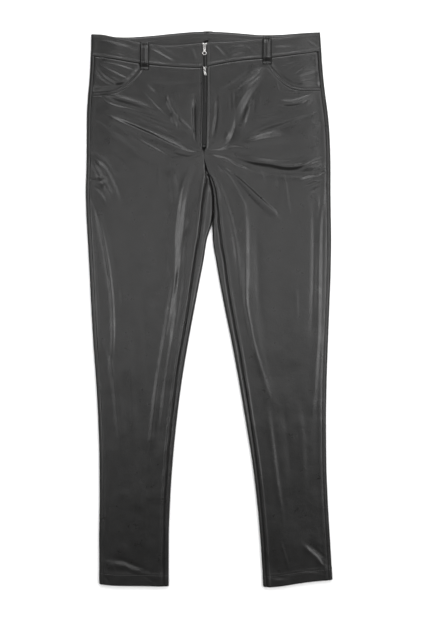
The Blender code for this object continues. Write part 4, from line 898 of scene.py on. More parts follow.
# ---------------------------------------------------------------- materials
def nodes_of(name):
    mat = bpy.data.materials.new(name)
    mat.use_nodes = True
    tree = mat.node_tree
    tree.nodes.clear()
    out = tree.nodes.new("ShaderNodeOutputMaterial")
    shader = tree.nodes.new("ShaderNodeBsdfPrincipled")
    tree.links.new(shader.outputs["BSDF"], out.inputs["Surface"])
    coords = tree.nodes.new("ShaderNodeTexCoord")
    return mat, tree, shader, coords


def noise(tree, coords, scale, detail=3.0, rough=0.55, stretch=None):
    tex = tree.nodes.new("ShaderNodeTexNoise")
    tex.inputs["Scale"].default_value = scale
    tex.inputs["Detail"].default_value = detail
    tex.inputs["Roughness"].default_value = rough
    source = coords.outputs["Object"]
    if stretch:
        mapping = tree.nodes.new("ShaderNodeMapping")
        mapping.inputs["Scale"].default_value = stretch
        tree.links.new(source, mapping.inputs["Vector"])
        source = mapping.outputs["Vector"]
    tree.links.new(source, tex.inputs["Vector"])
    return tex.outputs["Fac"]


def ramp(tree, fac, low, high, at=(0.35, 0.65)):
    node = tree.nodes.new("ShaderNodeValToRGB")
    node.color_ramp.elements[0].position, node.color_ramp.elements[1].position = at
    node.color_ramp.elements[0].color = low
    node.color_ramp.elements[1].color = high
    tree.links.new(fac, node.inputs["Fac"])
    return node.outputs["Color"]


def to_range(tree, fac, low, high, a=0.3, b=0.7):
    node = tree.nodes.new("ShaderNodeMapRange")
    for key, value in (("From Min", a), ("From Max", b), ("To Min", low), ("To Max", high)):
        node.inputs[key].default_value = value
    tree.links.new(fac, node.inputs["Value"])
    return node.outputs["Result"]


def bumps(tree, shader, layers):
    """layers: (height, strength, distance in metres), the coarsest first."""
    last = None
    for height, strength, distance in layers:
        node = tree.nodes.new("ShaderNodeBump")
        node.inputs["Strength"].default_value = strength
        node.inputs["Distance"].default_value = distance
        tree.links.new(height, node.inputs["Height"])
        if last:
            tree.links.new(last, node.inputs["Normal"])
        last = node.outputs["Normal"]
    tree.links.new(last, shader.inputs["Normal"])


def grey(v, warm=0.0):
    return (v * (1 + warm), v, v * (1 - warm), 1.0)


def coated_cloth(name, tone=0.009, rough=0.31):
    """Black coated cloth: fine leather grain under a thin wet-looking film."""
    mat, tree, shader, coords = nodes_of(name)
    blotch = noise(tree, coords, 26.0, 4.0)
    tree.links.new(ramp(tree, blotch, grey(tone * 0.86, 0.02), grey(tone * 1.14, 0.02)), shader.inputs["Base Color"])
    wear = noise(tree, coords, 60.0, 5.0, 0.6)
    tree.links.new(to_range(tree, wear, rough - 0.045, rough + 0.045), shader.inputs["Roughness"])
    shader.inputs["Specular IOR Level"].default_value = 0.28
    shader.inputs["IOR"].default_value = 1.5
    cells = tree.nodes.new("ShaderNodeTexVoronoi")
    cells.feature = "SMOOTH_F1"
    cells.inputs["Scale"].default_value = 900.0
    cells.inputs["Randomness"].default_value = 1.0
    tree.links.new(coords.outputs["Object"], cells.inputs["Vector"])
    grain = noise(tree, coords, 420.0, 3.0, 0.6)
    soft = noise(tree, coords, 110.0, 3.0, 0.5)
    bumps(tree, shader, [(soft, 0.5, 0.00035), (grain, 0.6, 0.00022), (cells.outputs["Distance"], 0.5, 0.00012)])
    return mat


def backing_cloth(name):
    """The knitted reverse of the coated cloth."""
    mat, tree, shader, coords = nodes_of(name)
    knit = tree.nodes.new("ShaderNodeTexWave")
    knit.wave_type = "BANDS"
    knit.bands_direction = "X"
    knit.inputs["Scale"].default_value = 320.0
    knit.inputs["Distortion"].default_value = 1.5
    tree.links.new(coords.outputs["Object"], knit.inputs["Vector"])
    fuzz = noise(tree, coords, 300.0, 4.0, 0.7)
    tree.links.new(ramp(tree, fuzz, grey(0.014), grey(0.028)), shader.inputs["Base Color"])
    shader.inputs["Roughness"].default_value = 0.85
    shader.inputs["Sheen Weight"].default_value = 0.25
    shader.inputs["Sheen Roughness"].default_value = 0.5
    bumps(tree, shader, [(fuzz, 0.6, 0.0003), (knit.outputs["Fac"], 0.5, 0.0002)])
    return mat


def thread(name):
    mat, tree, shader, coords = nodes_of(name)
    twist = noise(tree, coords, 1800.0, 2.0)
    tree.links.new(ramp(tree, twist, grey(0.02), grey(0.045)), shader.inputs["Base Color"])
    shader.inputs["Roughness"].default_value = 0.5
    shader.inputs["Sheen Weight"].default_value = 0.2
    bumps(tree, shader, [(twist, 0.5, 0.0001)])
    return mat


def tape_cloth(name):
    mat, tree, shader, coords = nodes_of(name)
    weave = tree.nodes.new("ShaderNodeTexWave")
    weave.bands_direction = "DIAGONAL"
    weave.inputs["Scale"].default_value = 420.0
    tree.links.new(coords.outputs["Object"], weave.inputs["Vector"])
    tree.links.new(ramp(tree, weave.outputs["Fac"], grey(0.008), grey(0.02)), shader.inputs["Base Color"])
    shader.inputs["Roughness"].default_value = 0.75
    bumps(tree, shader, [(weave.outputs["Fac"], 0.6, 0.0002)])
    return mat


def coil_plastic(name):
    mat, tree, shader, coords = nodes_of(name)
    spots = noise(tree, coords, 700.0, 3.0)
    tree.links.new(ramp(tree, spots, grey(0.006), grey(0.014)), shader.inputs["Base Color"])
    tree.links.new(to_range(tree, spots, 0.36, 0.5), shader.inputs["Roughness"])
    shader.inputs["Specular IOR Level"].default_value = 0.2
    bumps(tree, shader, [(spots, 0.3, 0.0001)])
    return mat


def bright_metal(name):
    mat, tree, shader, coords = nodes_of(name)
    spots = noise(tree, coords, 500.0, 4.0)
    tree.links.new(ramp(tree, spots, (0.22, 0.217, 0.214, 1), (0.38, 0.374, 0.368, 1)), shader.inputs["Base Color"])
    tree.links.new(to_range(tree, spots, 0.16, 0.3), shader.inputs["Roughness"])
    shader.inputs["Metallic"].default_value = 1.0
    bumps(tree, shader, [(spots, 0.15, 0.0001)])
    return mat


MATS = {
    "panel": coated_cloth("coated_cloth_panel"),
    "band": coated_cloth("coated_cloth_band", 0.0102, 0.33),
    "loop": coated_cloth("coated_cloth_loop", 0.0094, 0.33),
    "backing": backing_cloth("knit_backing"),
    "thread": thread("black_thread"),
    "tape": tape_cloth("woven_tape"),
    "coil": coil_plastic("moulded_coil"),
    "metal": bright_metal("plated_metal"),
}


# ------------------------------------------------------------- cloth pieces
def dip(d, depth, width):
    """How far a panel turns down into a seam, at a distance from its edge."""
    return depth * bump(d, width)


def ripples(y, seed, size=22.0):
    """Uneven puckering along a seam."""
    return waves(y, np.full_like(y, 3.3), size, seed) + 0.6 * waves(y, np.full_like(y, 9.1), size * 0.45, seed + 1)


def rows_down(top, low, near_top, near_low, pitches):
    """Shares from 0 (top) to 1 (bottom) of a panel's length; pitches is a list
    of (from y, pitch in mm)."""
    length = top - low
    ys = [top - d for d in near_top]
    y = ys[-1]
    end = low + near_low[0]
    while y > end:
        pitch = [p for limit, p in pitches if y <= limit][-1]
        y -= pitch
        ys.append(max(y, end))
    ys += [low + d for d in near_low[1:]]
    out = sorted(set(ys), reverse=True)
    return [(top - v) / length for v in out]


def panel_grid(side, back):
    """The outside points of a front or back panel, with each point's distance
    to its edges along the cloth."""
    top_ref, low_ref = 470.0, -522.0
    fine_top, fine_low = (0, 0.5, 1.1, 1.8, 2.8, 4.0), (5.0, 3.6, 2.4, 1.4, 0.6, 0.0)
    if back:
        pitches = [(600, 4.2), (300, 3.6), (120, 6.0), (-440, 4.0)]
        pitch = 3.1
    else:
        pitches = [(600, 1.75), (215, 2.2), (120, 4.2), (-440, 2.6)]
        pitch = 1.75
    v = np.array(rows_down(top_ref, low_ref, fine_top, fine_low, pitches))
    nominal = top_ref + (low_ref - top_ref) * v
    # Columns: shares of the width between the two seams at the widest place.
    wide = 250.0 if back else 216.0
    near = FINE_ENDS
    if back:
        edge = [0.0, 0.5, 1.1, 1.8, 2.7, 3.8, 5.2, 6.8, 8.4, 10.0, 11.6, 13.2, 14.8, 16.4, 18.4, 21.0]
        cols = steps_between(0, wide, edge, [30, 27, 24.5, 22, 20, 18, 16, 14, 12, 10, 8, 6.2, 4.6, 3.2, 2.2, 1.4, 0.7, 0.0], pitch)
    else:
        cols = steps_between(0, wide, FINE_ENDS, LAST_ENDS, pitch)
    cols = np.array(cols)
    # y of each point: rows run straight across the legs and bend with the
    # waist line above the hips and with the hem below.
    yy = np.repeat(nominal[:, None], len(cols), axis=1)
    level = yy.copy()
    for _ in range(4):
        c = section(side, yy)
        if back:
            start = c.q1 + c.flat - (SIDE_SEAM_IN - EDGE_RADIUS) + SEAM_GAP
            end = c.total + c.seam - np.where(yy <= FORK_Y, SEAM_GAP / 2 + 0.2, 0.0)
        else:
            gap = ZIP_HALF_GAP * ease((yy - 294) / 12)
            start = np.where(yy > FORK_Y, np.maximum(0.0, gap - SEAM_GAP / 2), c.seam + SEAM_GAP / 2 + 0.2)
            end = c.q1 + c.flat - (SIDE_SEAM_IN - EDGE_RADIUS)
        width = end - start
        share = cols[None, :]
        # Keep the spacing near both seams, stretch the middle.
        lo, hi = (21.0, wide - 30.0) if back else (FINE_ENDS[-1], wide - FINE_ENDS[-1])
        s = np.where(share <= lo, start + share,
                     np.where(share >= hi, end - (wide - share),
                              start + lo + (share - lo) / (hi - lo) * (width - lo - (wide - hi))))
        x, _, turn = on_form(side, s, yy, fine=False)
        if back:
            reach = seam_level(side, x, turn, "seam") - SEAM_GAP / 2
        else:
            reach = front_top_y(side, x)
        foot = HEM[side](x)
        upper = HIP_Y + (level - HIP_Y) / (top_ref - HIP_Y) * (reach - HIP_Y)
        lower = HEM_LINE_Y + (level - HEM_LINE_Y) / (low_ref - HEM_LINE_Y) * (foot - HEM_LINE_Y)
        yy = np.where(level > HIP_Y, upper, np.where(level < HEM_LINE_Y, lower, level))
    x, z, turn = on_form(side, s, yy, fine=True)
    p = np.stack([x, yy, z], axis=-1)
    return p, s - start, end - s, reach - yy, yy - foot, turn


def hem_shape(d_foot):
    """The turned hem: a folded lower edge and a step along its stitching."""
    step = 0.35 * ease((HEM_TURN + 1.5 - d_foot) / 3.0)
    channel = -0.3 * bump(d_foot - (HEM_TURN - 3.5), 0.9)
    edge = -0.9 * np.clip(1 - d_foot / 1.6, 0, 1) ** 2
    return step + channel + edge


def front_panel(side):
    p, d_in, d_side, d_top, d_foot, turn = panel_grid(side, False)
    x, y = p[..., 0], p[..., 1]
    name = side_name(side)
    pocket = ((x - POCKET_END[side]) * side > 0) & (POCKET[side](x) < WAIST_LINE["seam"](x))
    legs = ease((FORK_Y - y) / 10)
    zip_part = ease((y - 300) / 8)
    seam_part = 1 - zip_part
    add = np.zeros_like(x)
    # side seam: turned in, with a low ridge and puckers beside it
    rip = ripples(y, 30 + side)
    add -= dip(d_side, 0.4, 0.9)
    add += (0.28 + 0.10 * rip) * bump(d_side - 5.0, 3.0)
    # inseam and centre seam
    rip = ripples(y, 40 + side, 18)
    add -= dip(d_in, 0.4 + 0.9 * legs, 0.9 + 0.8 * legs) * seam_part
    add += (0.68 + 0.16 * rip) * bump(d_in - 5.0, 2.2) * legs
    # zip edge: a folded edge with a row of stitches
    add -= dip(d_in, 0.5, 0.8) * zip_part
    add += 0.5 * bump(d_in - 2.2, 1.2) * zip_part
    add -= 0.55 * bump(d_in - 5.2, 0.9) * zip_part
    # waist seam
    across = 1 - pocket.astype(float)
    rip = ripples(x, 50 + side, 16)
    add -= dip(d_top, 0.45, 0.9) * across
    add += (0.16 + 0.12 * rip) * bump(d_top - 5.0, 3.5) * across
    # pocket mouth: a rolled edge and two rows of stitches
    mouth = pocket.astype(float)
    slope = np.gradient(POCKET[side](np.linspace(-240, 240, 2401)), 0.2)
    tilt = 1 / np.sqrt(1 + np.interp(x, np.linspace(-240, 240, 2401), slope) ** 2)
    dm = d_top * tilt
    add += mouth * (0.55 * bump(dm - 2.6, 2.0) - 0.55 * np.clip(1 - dm / 1.3, 0, 1) ** 2
                    - 0.38 * bump(dm - 1.9, 0.55) - 0.38 * bump(dm - 6.4, 0.6) + 0.28 * bump(dm - 4.2, 1.3))
    add += hem_shape(d_foot)
    n = grid_normals(p)
    n = np.where(n[..., 2:] < 0, -n, n)
    p = p + n * add[..., None]
    thick = CLOTH + (HEM_CLOTH - CLOTH) * ease((HEM_TURN + 1 - d_foot) / 3.0)
    thick = thick - 0.45 * bump(np.minimum(np.minimum(d_in, d_side), np.maximum(d_top, 0)), 1.2)
    obj, p, n = shell("front_panel_" + name, p, upwards, thick, [MATS["panel"], MATS["backing"]])
    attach(obj, "root")
    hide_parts("front_" + name)
    return obj, p, n, dict(d_in=d_in, d_side=d_side, d_top=d_top, d_foot=d_foot, pocket=pocket)


def back_panel(side):
    p, d_side, d_in, d_top, d_foot, turn = panel_grid(side, True)
    x, y = p[..., 0], p[..., 1]
    name = side_name(side)
    legs = ease((FORK_Y - y) / 10)
    add = np.zeros_like(x)
    rip = ripples(y, 60 + side)
    add -= dip(d_side, 0.4, 0.9)
    add += (0.2 + 0.08 * rip) * bump(d_side - 3.6, 2.0)
    rip = ripples(y, 70 + side, 18)
    add -= dip(d_in, 0.4 + 0.7 * legs, 0.9 + 0.8 * legs)
    add += (0.62 + 0.16 * rip) * bump(d_in - 5.4, 2.4) * legs
    add += hem_shape(d_foot) * (1 - ease((turn - 0.75) / 0.2) * ease((1.6 - turn) / 0.2) * 1.0)
    n = grid_normals(p)
    flip = float((n * from_middle(side)(p)).sum()) < 0
    if flip:
        n = -n
    # Nothing may reach below the surface that the garment lies on.
    q = p + n * add[..., None]
    q[..., 2] = np.maximum(q[..., 2], 0.0)
    thick = CLOTH + (HEM_CLOTH - CLOTH) * ease((HEM_TURN + 1 - d_foot) / 3.0)
    thick = thick - 0.35 * bump(np.minimum(d_in, d_side), 1.2)
    obj, q, n = shell("back_panel_" + name, q, from_middle(side), thick, [MATS["panel"], MATS["backing"]])
    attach(obj, "root")
    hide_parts("back_" + name)
    return obj, q, n, dict(d_in=d_in, d_side=d_side, d_top=d_top, d_foot=d_foot, turn=turn)


def pocket_facing(side):
    end = POCKET_END[side]
    u = np.array(steps_between(0, 104.0, (0, 1.5, 3), LAST_ENDS, 1.6)) / 104.0
    v = np.array(steps_between(0, 60.0, (0, 0.5, 1.1, 1.8, 2.8), (3, 1.5, 0), 1.6)) / 60.0
    uu, vv = np.meshgrid(u, v)
    x_in = end - side * 4
    y = np.full_like(uu, 440.0)
    for _ in range(5):
        x_side = OUT[side](y) - side * (SIDE_SEAM_IN + SEAM_GAP)
        x = x_in + (x_side - x_in) * uu
        reach = WAIST_LINE["seam"](x) - SEAM_GAP / 2
        foot = np.minimum(POCKET[side](x), reach) - FACING_UNDER
        y = reach + (foot - reach) * vv
    below = ease((POCKET[side](x) + 12 - y) / 10)
    drop = 0.3 + (FACING_DROP - 0.3) * np.maximum(below, ease((x_in + side * 14 - x) * side / 10))
    shown = ease((y - POCKET[side](x) + 3) / 5)
    out_d = np.abs(OUT[side](y) - x)
    keep = (0.3 + 0.7 * ease((out_d - 7) / 8)) * shown
    z = top_z(side, x, y) - drop + crease_rise(FACING_CREASES, x, y) * keep
    z += keep * (0.2 * waves(x, y, 30, 13) + 0.1 * waves(x, y, 12, 15))
    d_top, d_side = reach - y, out_d - SIDE_SEAM_IN
    rip = ripples(x, 54 + side, 14)
    z -= dip(d_top, 0.4, 0.9)
    z += (0.2 + 0.12 * rip) * bump(d_top - 5.0, 3.0)
    z -= dip(d_side, 0.35, 0.9)
    z += 0.2 * bump(d_side - 4.5, 2.5)
    p = np.stack([x, y, z], axis=-1)
    name = side_name(side)
    thick = CLOTH - 0.4 * bump(np.minimum(d_top, d_side), 1.2)
    obj, p, n = shell("pocket_facing_cloth_" + name, p, upwards, thick, [MATS["panel"], MATS["backing"]])
    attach(obj, "root")
    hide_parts("pocket_facing_" + name)
    return obj, p, n


def waistband(side):
    """From the zip round the side to the centre back."""
    c = section(side, np.array([497.0]))
    a = float(c.q1[0] + c.flat[0])
    total = float(c.total[0])
    first = ZIP_HALF_GAP - SEAM_GAP / 2
    turn_in = a - 3.0
    st = steps_between(first, turn_in, FINE_ENDS, (0.0,), 1.9)
    st += list(np.linspace(turn_in, a + math.pi * EDGE_RADIUS + 4, 18)[1:])
    st += steps_between(st[-1], total, (0,), (26, 23, 20, 17, 14, 11, 8, 5.5, 3.5, 2.2, 1.2, 0.5, 0.0), 3.0)[1:]
    st = np.array(st)
    v = np.array(steps_between(0, 40.0, (0, 0.35, 0.8, 1.4, 2.2, 3.2, 4.4), (4.4, 3.2, 2.2, 1.4, 0.8, 0.35, 0.0), 1.7)) / 40.0
    ss, vv = np.meshgrid(st, v)
    y = np.full_like(ss, 497.0)
    for _ in range(5):
        cc = section(side, y)
        # Stations keep their distance from the side edge and from the middle.
        far = ss - total + cc.total
        s = np.where(ss < a, ss * (cc.q1 + cc.flat) / a, np.where(ss > a + 40, far, ss - a + cc.q1 + cc.flat))
        x, z, turn = on_form(side, s, y, fine=False)
        low = seam_level(side, x, turn, "seam") + SEAM_GAP / 2
        high = seam_level(side, x, turn, "front_top")
        y = high + (low - high) * vv
    x, z, turn = on_form(side, s, y, fine=False)
    front = 1 - ease(turn * 2)
    z = z + BAND_PROUD * front
    d_low, d_top = y - low, high - y
    d_zip = ss - first
    add = crease_rise(BAND_CREASES, x, y) * front * (0.3 + 0.7 * ease((np.abs(OUT[side](y) - x) - 3) / 9))
    add += front * (0.18 * waves(x, y, 34, 17) + 0.08 * waves(x, y, 13, 19))
    rip = ripples(x, 80 + side, 15)
    add -= dip(d_low, 0.5, 0.9) * (0.35 + 0.65 * front)
    add += (0.3 + 0.14 * rip) * bump(d_low - 3.6, 1.9) * front
    add -= 0.2 * bump(d_low - 6.6, 0.7) * front
    add -= dip(d_top, 0.45, 0.8) * (0.35 + 0.65 * front)
    add += 0.15 * bump(d_top - 4.0, 2.4) * front
    add -= dip(d_zip, 0.35, 0.7) * front
    add -= 0.22 * bump(d_zip - 5.2, 0.7) * front
    p = np.stack([x, y, z], axis=-1)
    n = grid_normals(p)
    if float((n * from_middle(side)(p)).sum()) < 0:
        n = -n
    p = p + n * add[..., None]
    p[..., 2] = np.maximum(p[..., 2], 0.0)
    # The inside of the back half shows past the front edge, so it has its own
    # soft shape, worked in through the thickness.
    under = ease((turn - 0.9) / 0.1)
    swell = 0.35 * waves(x, y, 38, 23) + 0.5 * bump(d_top - 4.5, 2.6) - 0.35 * bump(d_top - 8.6, 0.9)
    swell += 0.55 * bump(np.abs(x + 83) - 6, 12) * ease((y - 500) / 12)
    thick = BAND_CLOTH - 0.5 * bump(np.minimum(d_low, d_top), 1.0) + under * np.clip(swell, -0.5, 1.2)
    name = side_name(side)
    obj, p, n = shell("waistband_cloth_" + name, p, from_middle(side), thick, [MATS["band"], MATS["band"]], bulge=0.45)
    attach(obj, "root")
    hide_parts("waistband_" + name)
    return obj, p, n, dict(turn=turn, front=front, s=ss)


BeltLoop = namedtuple("BeltLoop", "name x top_y")
FRONT_LOOPS = [
    BeltLoop("belt_loop_front_right", -121.5, 503.0),
    BeltLoop("belt_loop_front_left", 109.2, 513.6),
]
Arch = namedtuple("Arch", "along clear")
LOOP_ARCH = [
    Arch(0.0, 0.4), Arch(3.5, 0.6), Arch(8.0, 3.0), Arch(13.5, 4.7),
    Arch(37.0, 4.8), Arch(43.5, 3.8), Arch(48.5, 2.0), Arch(51.0, 1.0),
]


def loop_grid(width, length, pitch=0.75):
    u = np.array(steps_between(-width / 2, width / 2, (0, 0.3, 0.7, 1.2), (1.2, 0.7, 0.3, 0), pitch))
    v = np.array(steps_between(0, length, (0, 0.3, 0.7, 1.2), (1.2, 0.7, 0.3, 0), pitch * 1.4))
    return np.meshgrid(u, v)


def strip_profile(u, width):
    """Across a belt loop: folded edges, a raised middle and two stitch rows."""
    d = width / 2 - np.abs(u)
    return (-1.5 * np.clip(1 - d / 3.2, 0, 1) ** 1.6 - 0.28 * bump(d - 3.6, 0.6)
            + 0.7 * bump(u - 0.6, 1.9))


def front_loop(loop):
    side = 1 if loop.x > 0 else -1
    u, v = loop_grid(LOOP_WIDTH, LOOP_LENGTH)
    y = loop.top_y - v
    run = LOOP_LENGTH - v
    clear = column(LOOP_ARCH, "clear", "along")(run)
    base = np.max([top_z(side, np.full_like(y, loop.x + dx), y) for dx in (-LOOP_WIDTH / 2, 0, LOOP_WIDTH / 2)], axis=0)
    base = base + BAND_PROUD * ease((y - float(WAIST_LINE["seam"](loop.x)) + 4) / 3)
    wobble = 0.18 * waves(u, v, 14, 31 + side)
    z = base + clear + LOOP_CLOTH + strip_profile(u, LOOP_WIDTH) + wobble * ease(run / 8) * ease((LOOP_LENGTH - run) / 8)
    for at in (2.4, LOOP_LENGTH - 2.4):
        z -= 0.35 * bump(run - at, 1.6)
    p = np.stack([loop.x + u, y, z], axis=-1)
    thick = LOOP_CLOTH - 0.5 * np.clip(1 - (LOOP_WIDTH / 2 - np.abs(u)) / 1.5, 0, 1) ** 2
    obj, p, n = shell(loop.name + "_cloth", p, upwards, thick, [MATS["loop"], MATS["loop"]])
    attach(obj, "root")
    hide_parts(loop.name)
    return obj, p, n


def back_loop():
    """Face down between the waistband and the surface."""
    u, v = loop_grid(LOOP_WIDTH, LOOP_LENGTH, 1.0)
    y = 525.6 - v
    z = 0.0 - np.minimum(strip_profile(u, LOOP_WIDTH) - 0.35, 0.0)
    p = np.stack([BACK_X + u, y, z], axis=-1)
    obj, p, n = shell("belt_loop_back_cloth", p, lambda q: -upwards(q), LOOP_CLOTH - np.abs(z),
                      [MATS["loop"], MATS["loop"]])
    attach(obj, "root")
    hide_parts("belt_loop_back")
    return obj, p, n


# ------------------------------------------------------------------- the zip
def zip_level(y):
    x = MIDDLE[False](y)
    return np.minimum(top_z(-1, x - ZIP_HALF_GAP, y), top_z(1, x + ZIP_HALF_GAP, y))


def zip_tape():
    y = np.linspace(ZIP_TOP_Y, ZIP_FOOT_Y, 130)
    dx = np.linspace(-TAPE_WIDTH / 2, TAPE_WIDTH / 2, 33)
    dd, yy = np.meshgrid(dx, y)
    x = MIDDLE[False](yy) + dd
    z = np.where(dd > 0, top_z(1, x, yy), top_z(-1, x, yy))
    z = np.minimum(zip_level(yy), z) - 3.0 - 0.12 * bump(np.abs(dd) - 3.4, 0.5)
    p = np.stack([x, yy, z], axis=-1)
    obj, p, n = shell("zip_tape_cloth", p, upwards, TAPE_CLOTH, [MATS["tape"], MATS["tape"]])
    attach(obj, "root")
    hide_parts("zip_tape")
    return obj


def zip_chain():
    """Interlocked teeth, one row from each side, on a cord that carries them."""
    store = new_store()
    pitch = 1.55
    tooth = [(-0.2, -0.55), (2.1, -0.62), (2.7, -0.3), (2.7, 0.3), (2.1, 0.62), (-0.2, 0.55)]
    count = int((ZIP_TOP_Y - 1 - ZIP_FOOT_Y - 5) / pitch)
    for k in range(count):
        y = ZIP_TOP_Y - 1.5 - k * pitch
        for side in (-1, 1):
            yk = y - (pitch / 2 if side > 0 else 0)
            x = float(MIDDLE[False](np.array(yk)))
            z0 = float(zip_level(np.array([yk]))[0])
            lower, upper = z0 - 1.7, z0 - 0.55
            ring = []
            for z, grow in ((lower, 1.0), (upper - 0.25, 1.0), (upper, 0.72)):
                for a, b in tooth:
                    a2, b2 = 1.25 + (a - 1.25) * grow, b * grow
                    ring.append((x + side * (a2 - 0.35) * 1.0, yk + b2, z))
            o = store["count"]
            store["verts"].append(np.array(ring))
            m = len(tooth)
            faces = []
            for level in range(2):
                for i in range(m):
                    j = (i + 1) % m
                    f = (o + level * m + i, o + level * m + j, o + (level + 1) * m + j, o + (level + 1) * m + i)
                    faces.append(f if side > 0 else f[::-1])
            cap = tuple(o + 2 * m + i for i in range(m))
            base = tuple(o + i for i in range(m))
            faces.append(cap if side > 0 else cap[::-1])
            faces.append(base[::-1] if side > 0 else base)
            store["faces"] += faces
            store["count"] += len(ring)
    obj = mesh_object("zip_teeth", np.vstack(store["verts"]), store["faces"], [MATS["coil"]], smooth=False)
    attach(obj, "root")
    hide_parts("zip_chain")
    # the cord under each row of teeth
    y = np.linspace(ZIP_TOP_Y - 1, ZIP_FOOT_Y + 4, 110)
    for side in (-1, 1):
        theta = np.linspace(0, 2 * math.pi, 9)[:-1]
        x = MIDDLE[False](y) + side * 2.2
        z = zip_level(y) - 1.25
        ring = np.stack([x[:, None] + 0.7 * np.cos(theta), np.repeat(y[:, None], 8, 1), z[:, None] + 0.55 * np.sin(theta)], axis=-1)
        verts = ring.reshape(-1, 3)
        faces = []
        for r in range(len(y) - 1):
            for k in range(8):
                faces.append((r * 8 + k, r * 8 + (k + 1) % 8, (r + 1) * 8 + (k + 1) % 8, (r + 1) * 8 + k))
        faces.append(tuple(range(8))[::-1])
        faces.append(tuple((len(y) - 1) * 8 + k for k in range(8)))
        cord = mesh_object("zip_cord_" + side_name(side), verts, faces, [MATS["tape"]])
        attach(cord, "root")
    return obj


def rounded_plate(name, loops, thickness, edge=0.28):
    """A plate from flat outlines, its edges rounded; middle plane at z = 0."""
    curve = bpy.data.curves.new(name, "CURVE")
    curve.dimensions = "2D"
    curve.fill_mode = "BOTH"
    curve.extrude = (thickness / 2 - edge) * MM
    curve.bevel_depth = edge * MM
    curve.bevel_resolution = 2
    curve.offset = -edge * MM
    for loop in loops:
        spline = curve.splines.new("POLY")
        spline.points.add(len(loop) - 1)
        for point, (x, y) in zip(spline.points, loop):
            point.co = (x * MM, y * MM, 0, 1)
        spline.use_cyclic_u = True
    return curve_object(name, curve)


def wire(name, points, radius, cyclic=False):
    curve = bpy.data.curves.new(name, "CURVE")
    curve.dimensions = "3D"
    curve.bevel_depth = radius * MM
    curve.bevel_resolution = 3
    curve.use_fill_caps = True
    spline = curve.splines.new("POLY")
    spline.points.add(len(points) - 1)
    for point, co in zip(spline.points, points):
        point.co = (co[0] * MM, co[1] * MM, co[2] * MM, 1)
    spline.use_cyclic_u = cyclic
    return curve_object(name, curve)


def curve_object(name, curve):
    holder = bpy.data.objects.new(name + "_outline", curve)
    bpy.context.scene.collection.objects.link(holder)
    graph = bpy.context.evaluated_depsgraph_get()
    mesh = bpy.data.meshes.new_from_object(holder.evaluated_get(graph))
    bm = bmesh.new()
    bm.from_mesh(mesh)
    bmesh.ops.remove_doubles(bm, verts=bm.verts, dist=0.000004)
    bmesh.ops.recalc_face_normals(bm, faces=bm.faces)
    for f in bm.faces:
        f.smooth = True
    bm.to_mesh(mesh)
    bm.free()
    bpy.data.objects.remove(holder, do_unlink=True)
    bpy.data.curves.remove(curve)
    mesh.name = name
    mesh.materials.clear()
    obj = bpy.data.objects.new(name, mesh)
    bpy.context.scene.collection.objects.link(obj)
    obj.data.materials.append(MATS["metal"])
    return obj


def oval(x, y, half_x, half_y, count, pointed=0.0):
    loop = []
    for k in range(count):
        a = 2 * math.pi * k / count
        c, s = math.cos(a), math.sin(a)
        shrink = 1 - pointed * (1 - 1 / (abs(c) + abs(s)))
        loop.append((x + half_x * c * shrink, y + half_y * s * shrink))
    return loop


def joined(name, objs):
    bm = bmesh.new()
    for o in objs:
        part = o.data.copy()
        part.transform(o.matrix_basis)
        bm.from_mesh(part)
        bpy.data.meshes.remove(part)
    mesh = bpy.data.meshes.new(name)
    bm.to_mesh(mesh)
    bm.free()
    mesh.materials.append(MATS["metal"])
    for o in objs:
        bpy.data.objects.remove(o, do_unlink=True)
    obj = bpy.data.objects.new(name, mesh)
    bpy.context.scene.collection.objects.link(obj)
    return obj


def slider(spec):
    x = float(MIDDLE[False](np.array(spec.hinge_y)))
    foot = float(np.max(zip_level(np.array([spec.y_top, spec.y_low])))) + SLIDER_CLEAR
    w, s = spec.width / 2, spec.shoulder / 2
    top, low = spec.y_top - spec.hinge_y, spec.y_low - spec.hinge_y
    outline = [(-s, low + 0.8), (-s + 0.4, low + 0.2), (-s + 1.0, low), (s - 1.0, low), (s - 0.4, low + 0.2),
               (s, low + 0.8), (s, low + (top - low) * 0.42), (s + (w - s) * 0.4, low + (top - low) * 0.6),
               (w, low + (top - low) * 0.76), (w, low + (top - low) * 0.86), (w - 0.6, top - 0.4),
               (w - 1.8, top), (1.4, top - 0.6), (0.5, top - 1.5), (-0.5, top - 1.5), (-1.4, top - 0.6),
               (-w + 1.8, top), (-w + 0.6, top - 0.4), (-w, low + (top - low) * 0.86),
               (-w, low + (top - low) * 0.76), (-s - (w - s) * 0.4, low + (top - low) * 0.6),
               (-s, low + (top - low) * 0.42)]
    body = rounded_plate(spec.name + "_plate", [outline], SLIDER_THICK, 0.55)
    body.matrix_basis = Matrix.Translation((x * MM, spec.hinge_y * MM, (foot + SLIDER_THICK / 2) * MM))
    arch = [(0, BAIL_RADIUS, -0.6), (0, BAIL_RADIUS, BAIL_POST)]
    arch += [(0, BAIL_RADIUS * math.cos(a), BAIL_POST + BAIL_RADIUS * math.sin(a))
             for a in (math.pi / 12 * k for k in range(1, 12))]
    arch += [(0, -BAIL_RADIUS, BAIL_POST), (0, -BAIL_RADIUS, -0.6)]
    bail = wire(spec.name + "_bail", arch, BAIL_WIRE)
    bail.matrix_basis = Matrix.Translation((x * MM, spec.hinge_y * MM, (foot + SLIDER_THICK) * MM))
    parts = [body, bail]
    # a low rim on each side of the bail
    for sx in (-1, 1):
        rim = wire(spec.name + "_rim", [(sx * (s - 1.0), low + 1.4, 0), (sx * (s - 0.8), low + (top - low) * 0.5, 0.15),
                                        (sx * (w - 1.5), top - 1.4, 0)], 0.45)
        rim.matrix_basis = Matrix.Translation((x * MM, spec.hinge_y * MM, (foot + SLIDER_THICK) * MM))
        parts.append(rim)
    obj = joined(spec.name + "_metal", parts)
    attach(obj, "root")
    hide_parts(spec.name)
    return obj


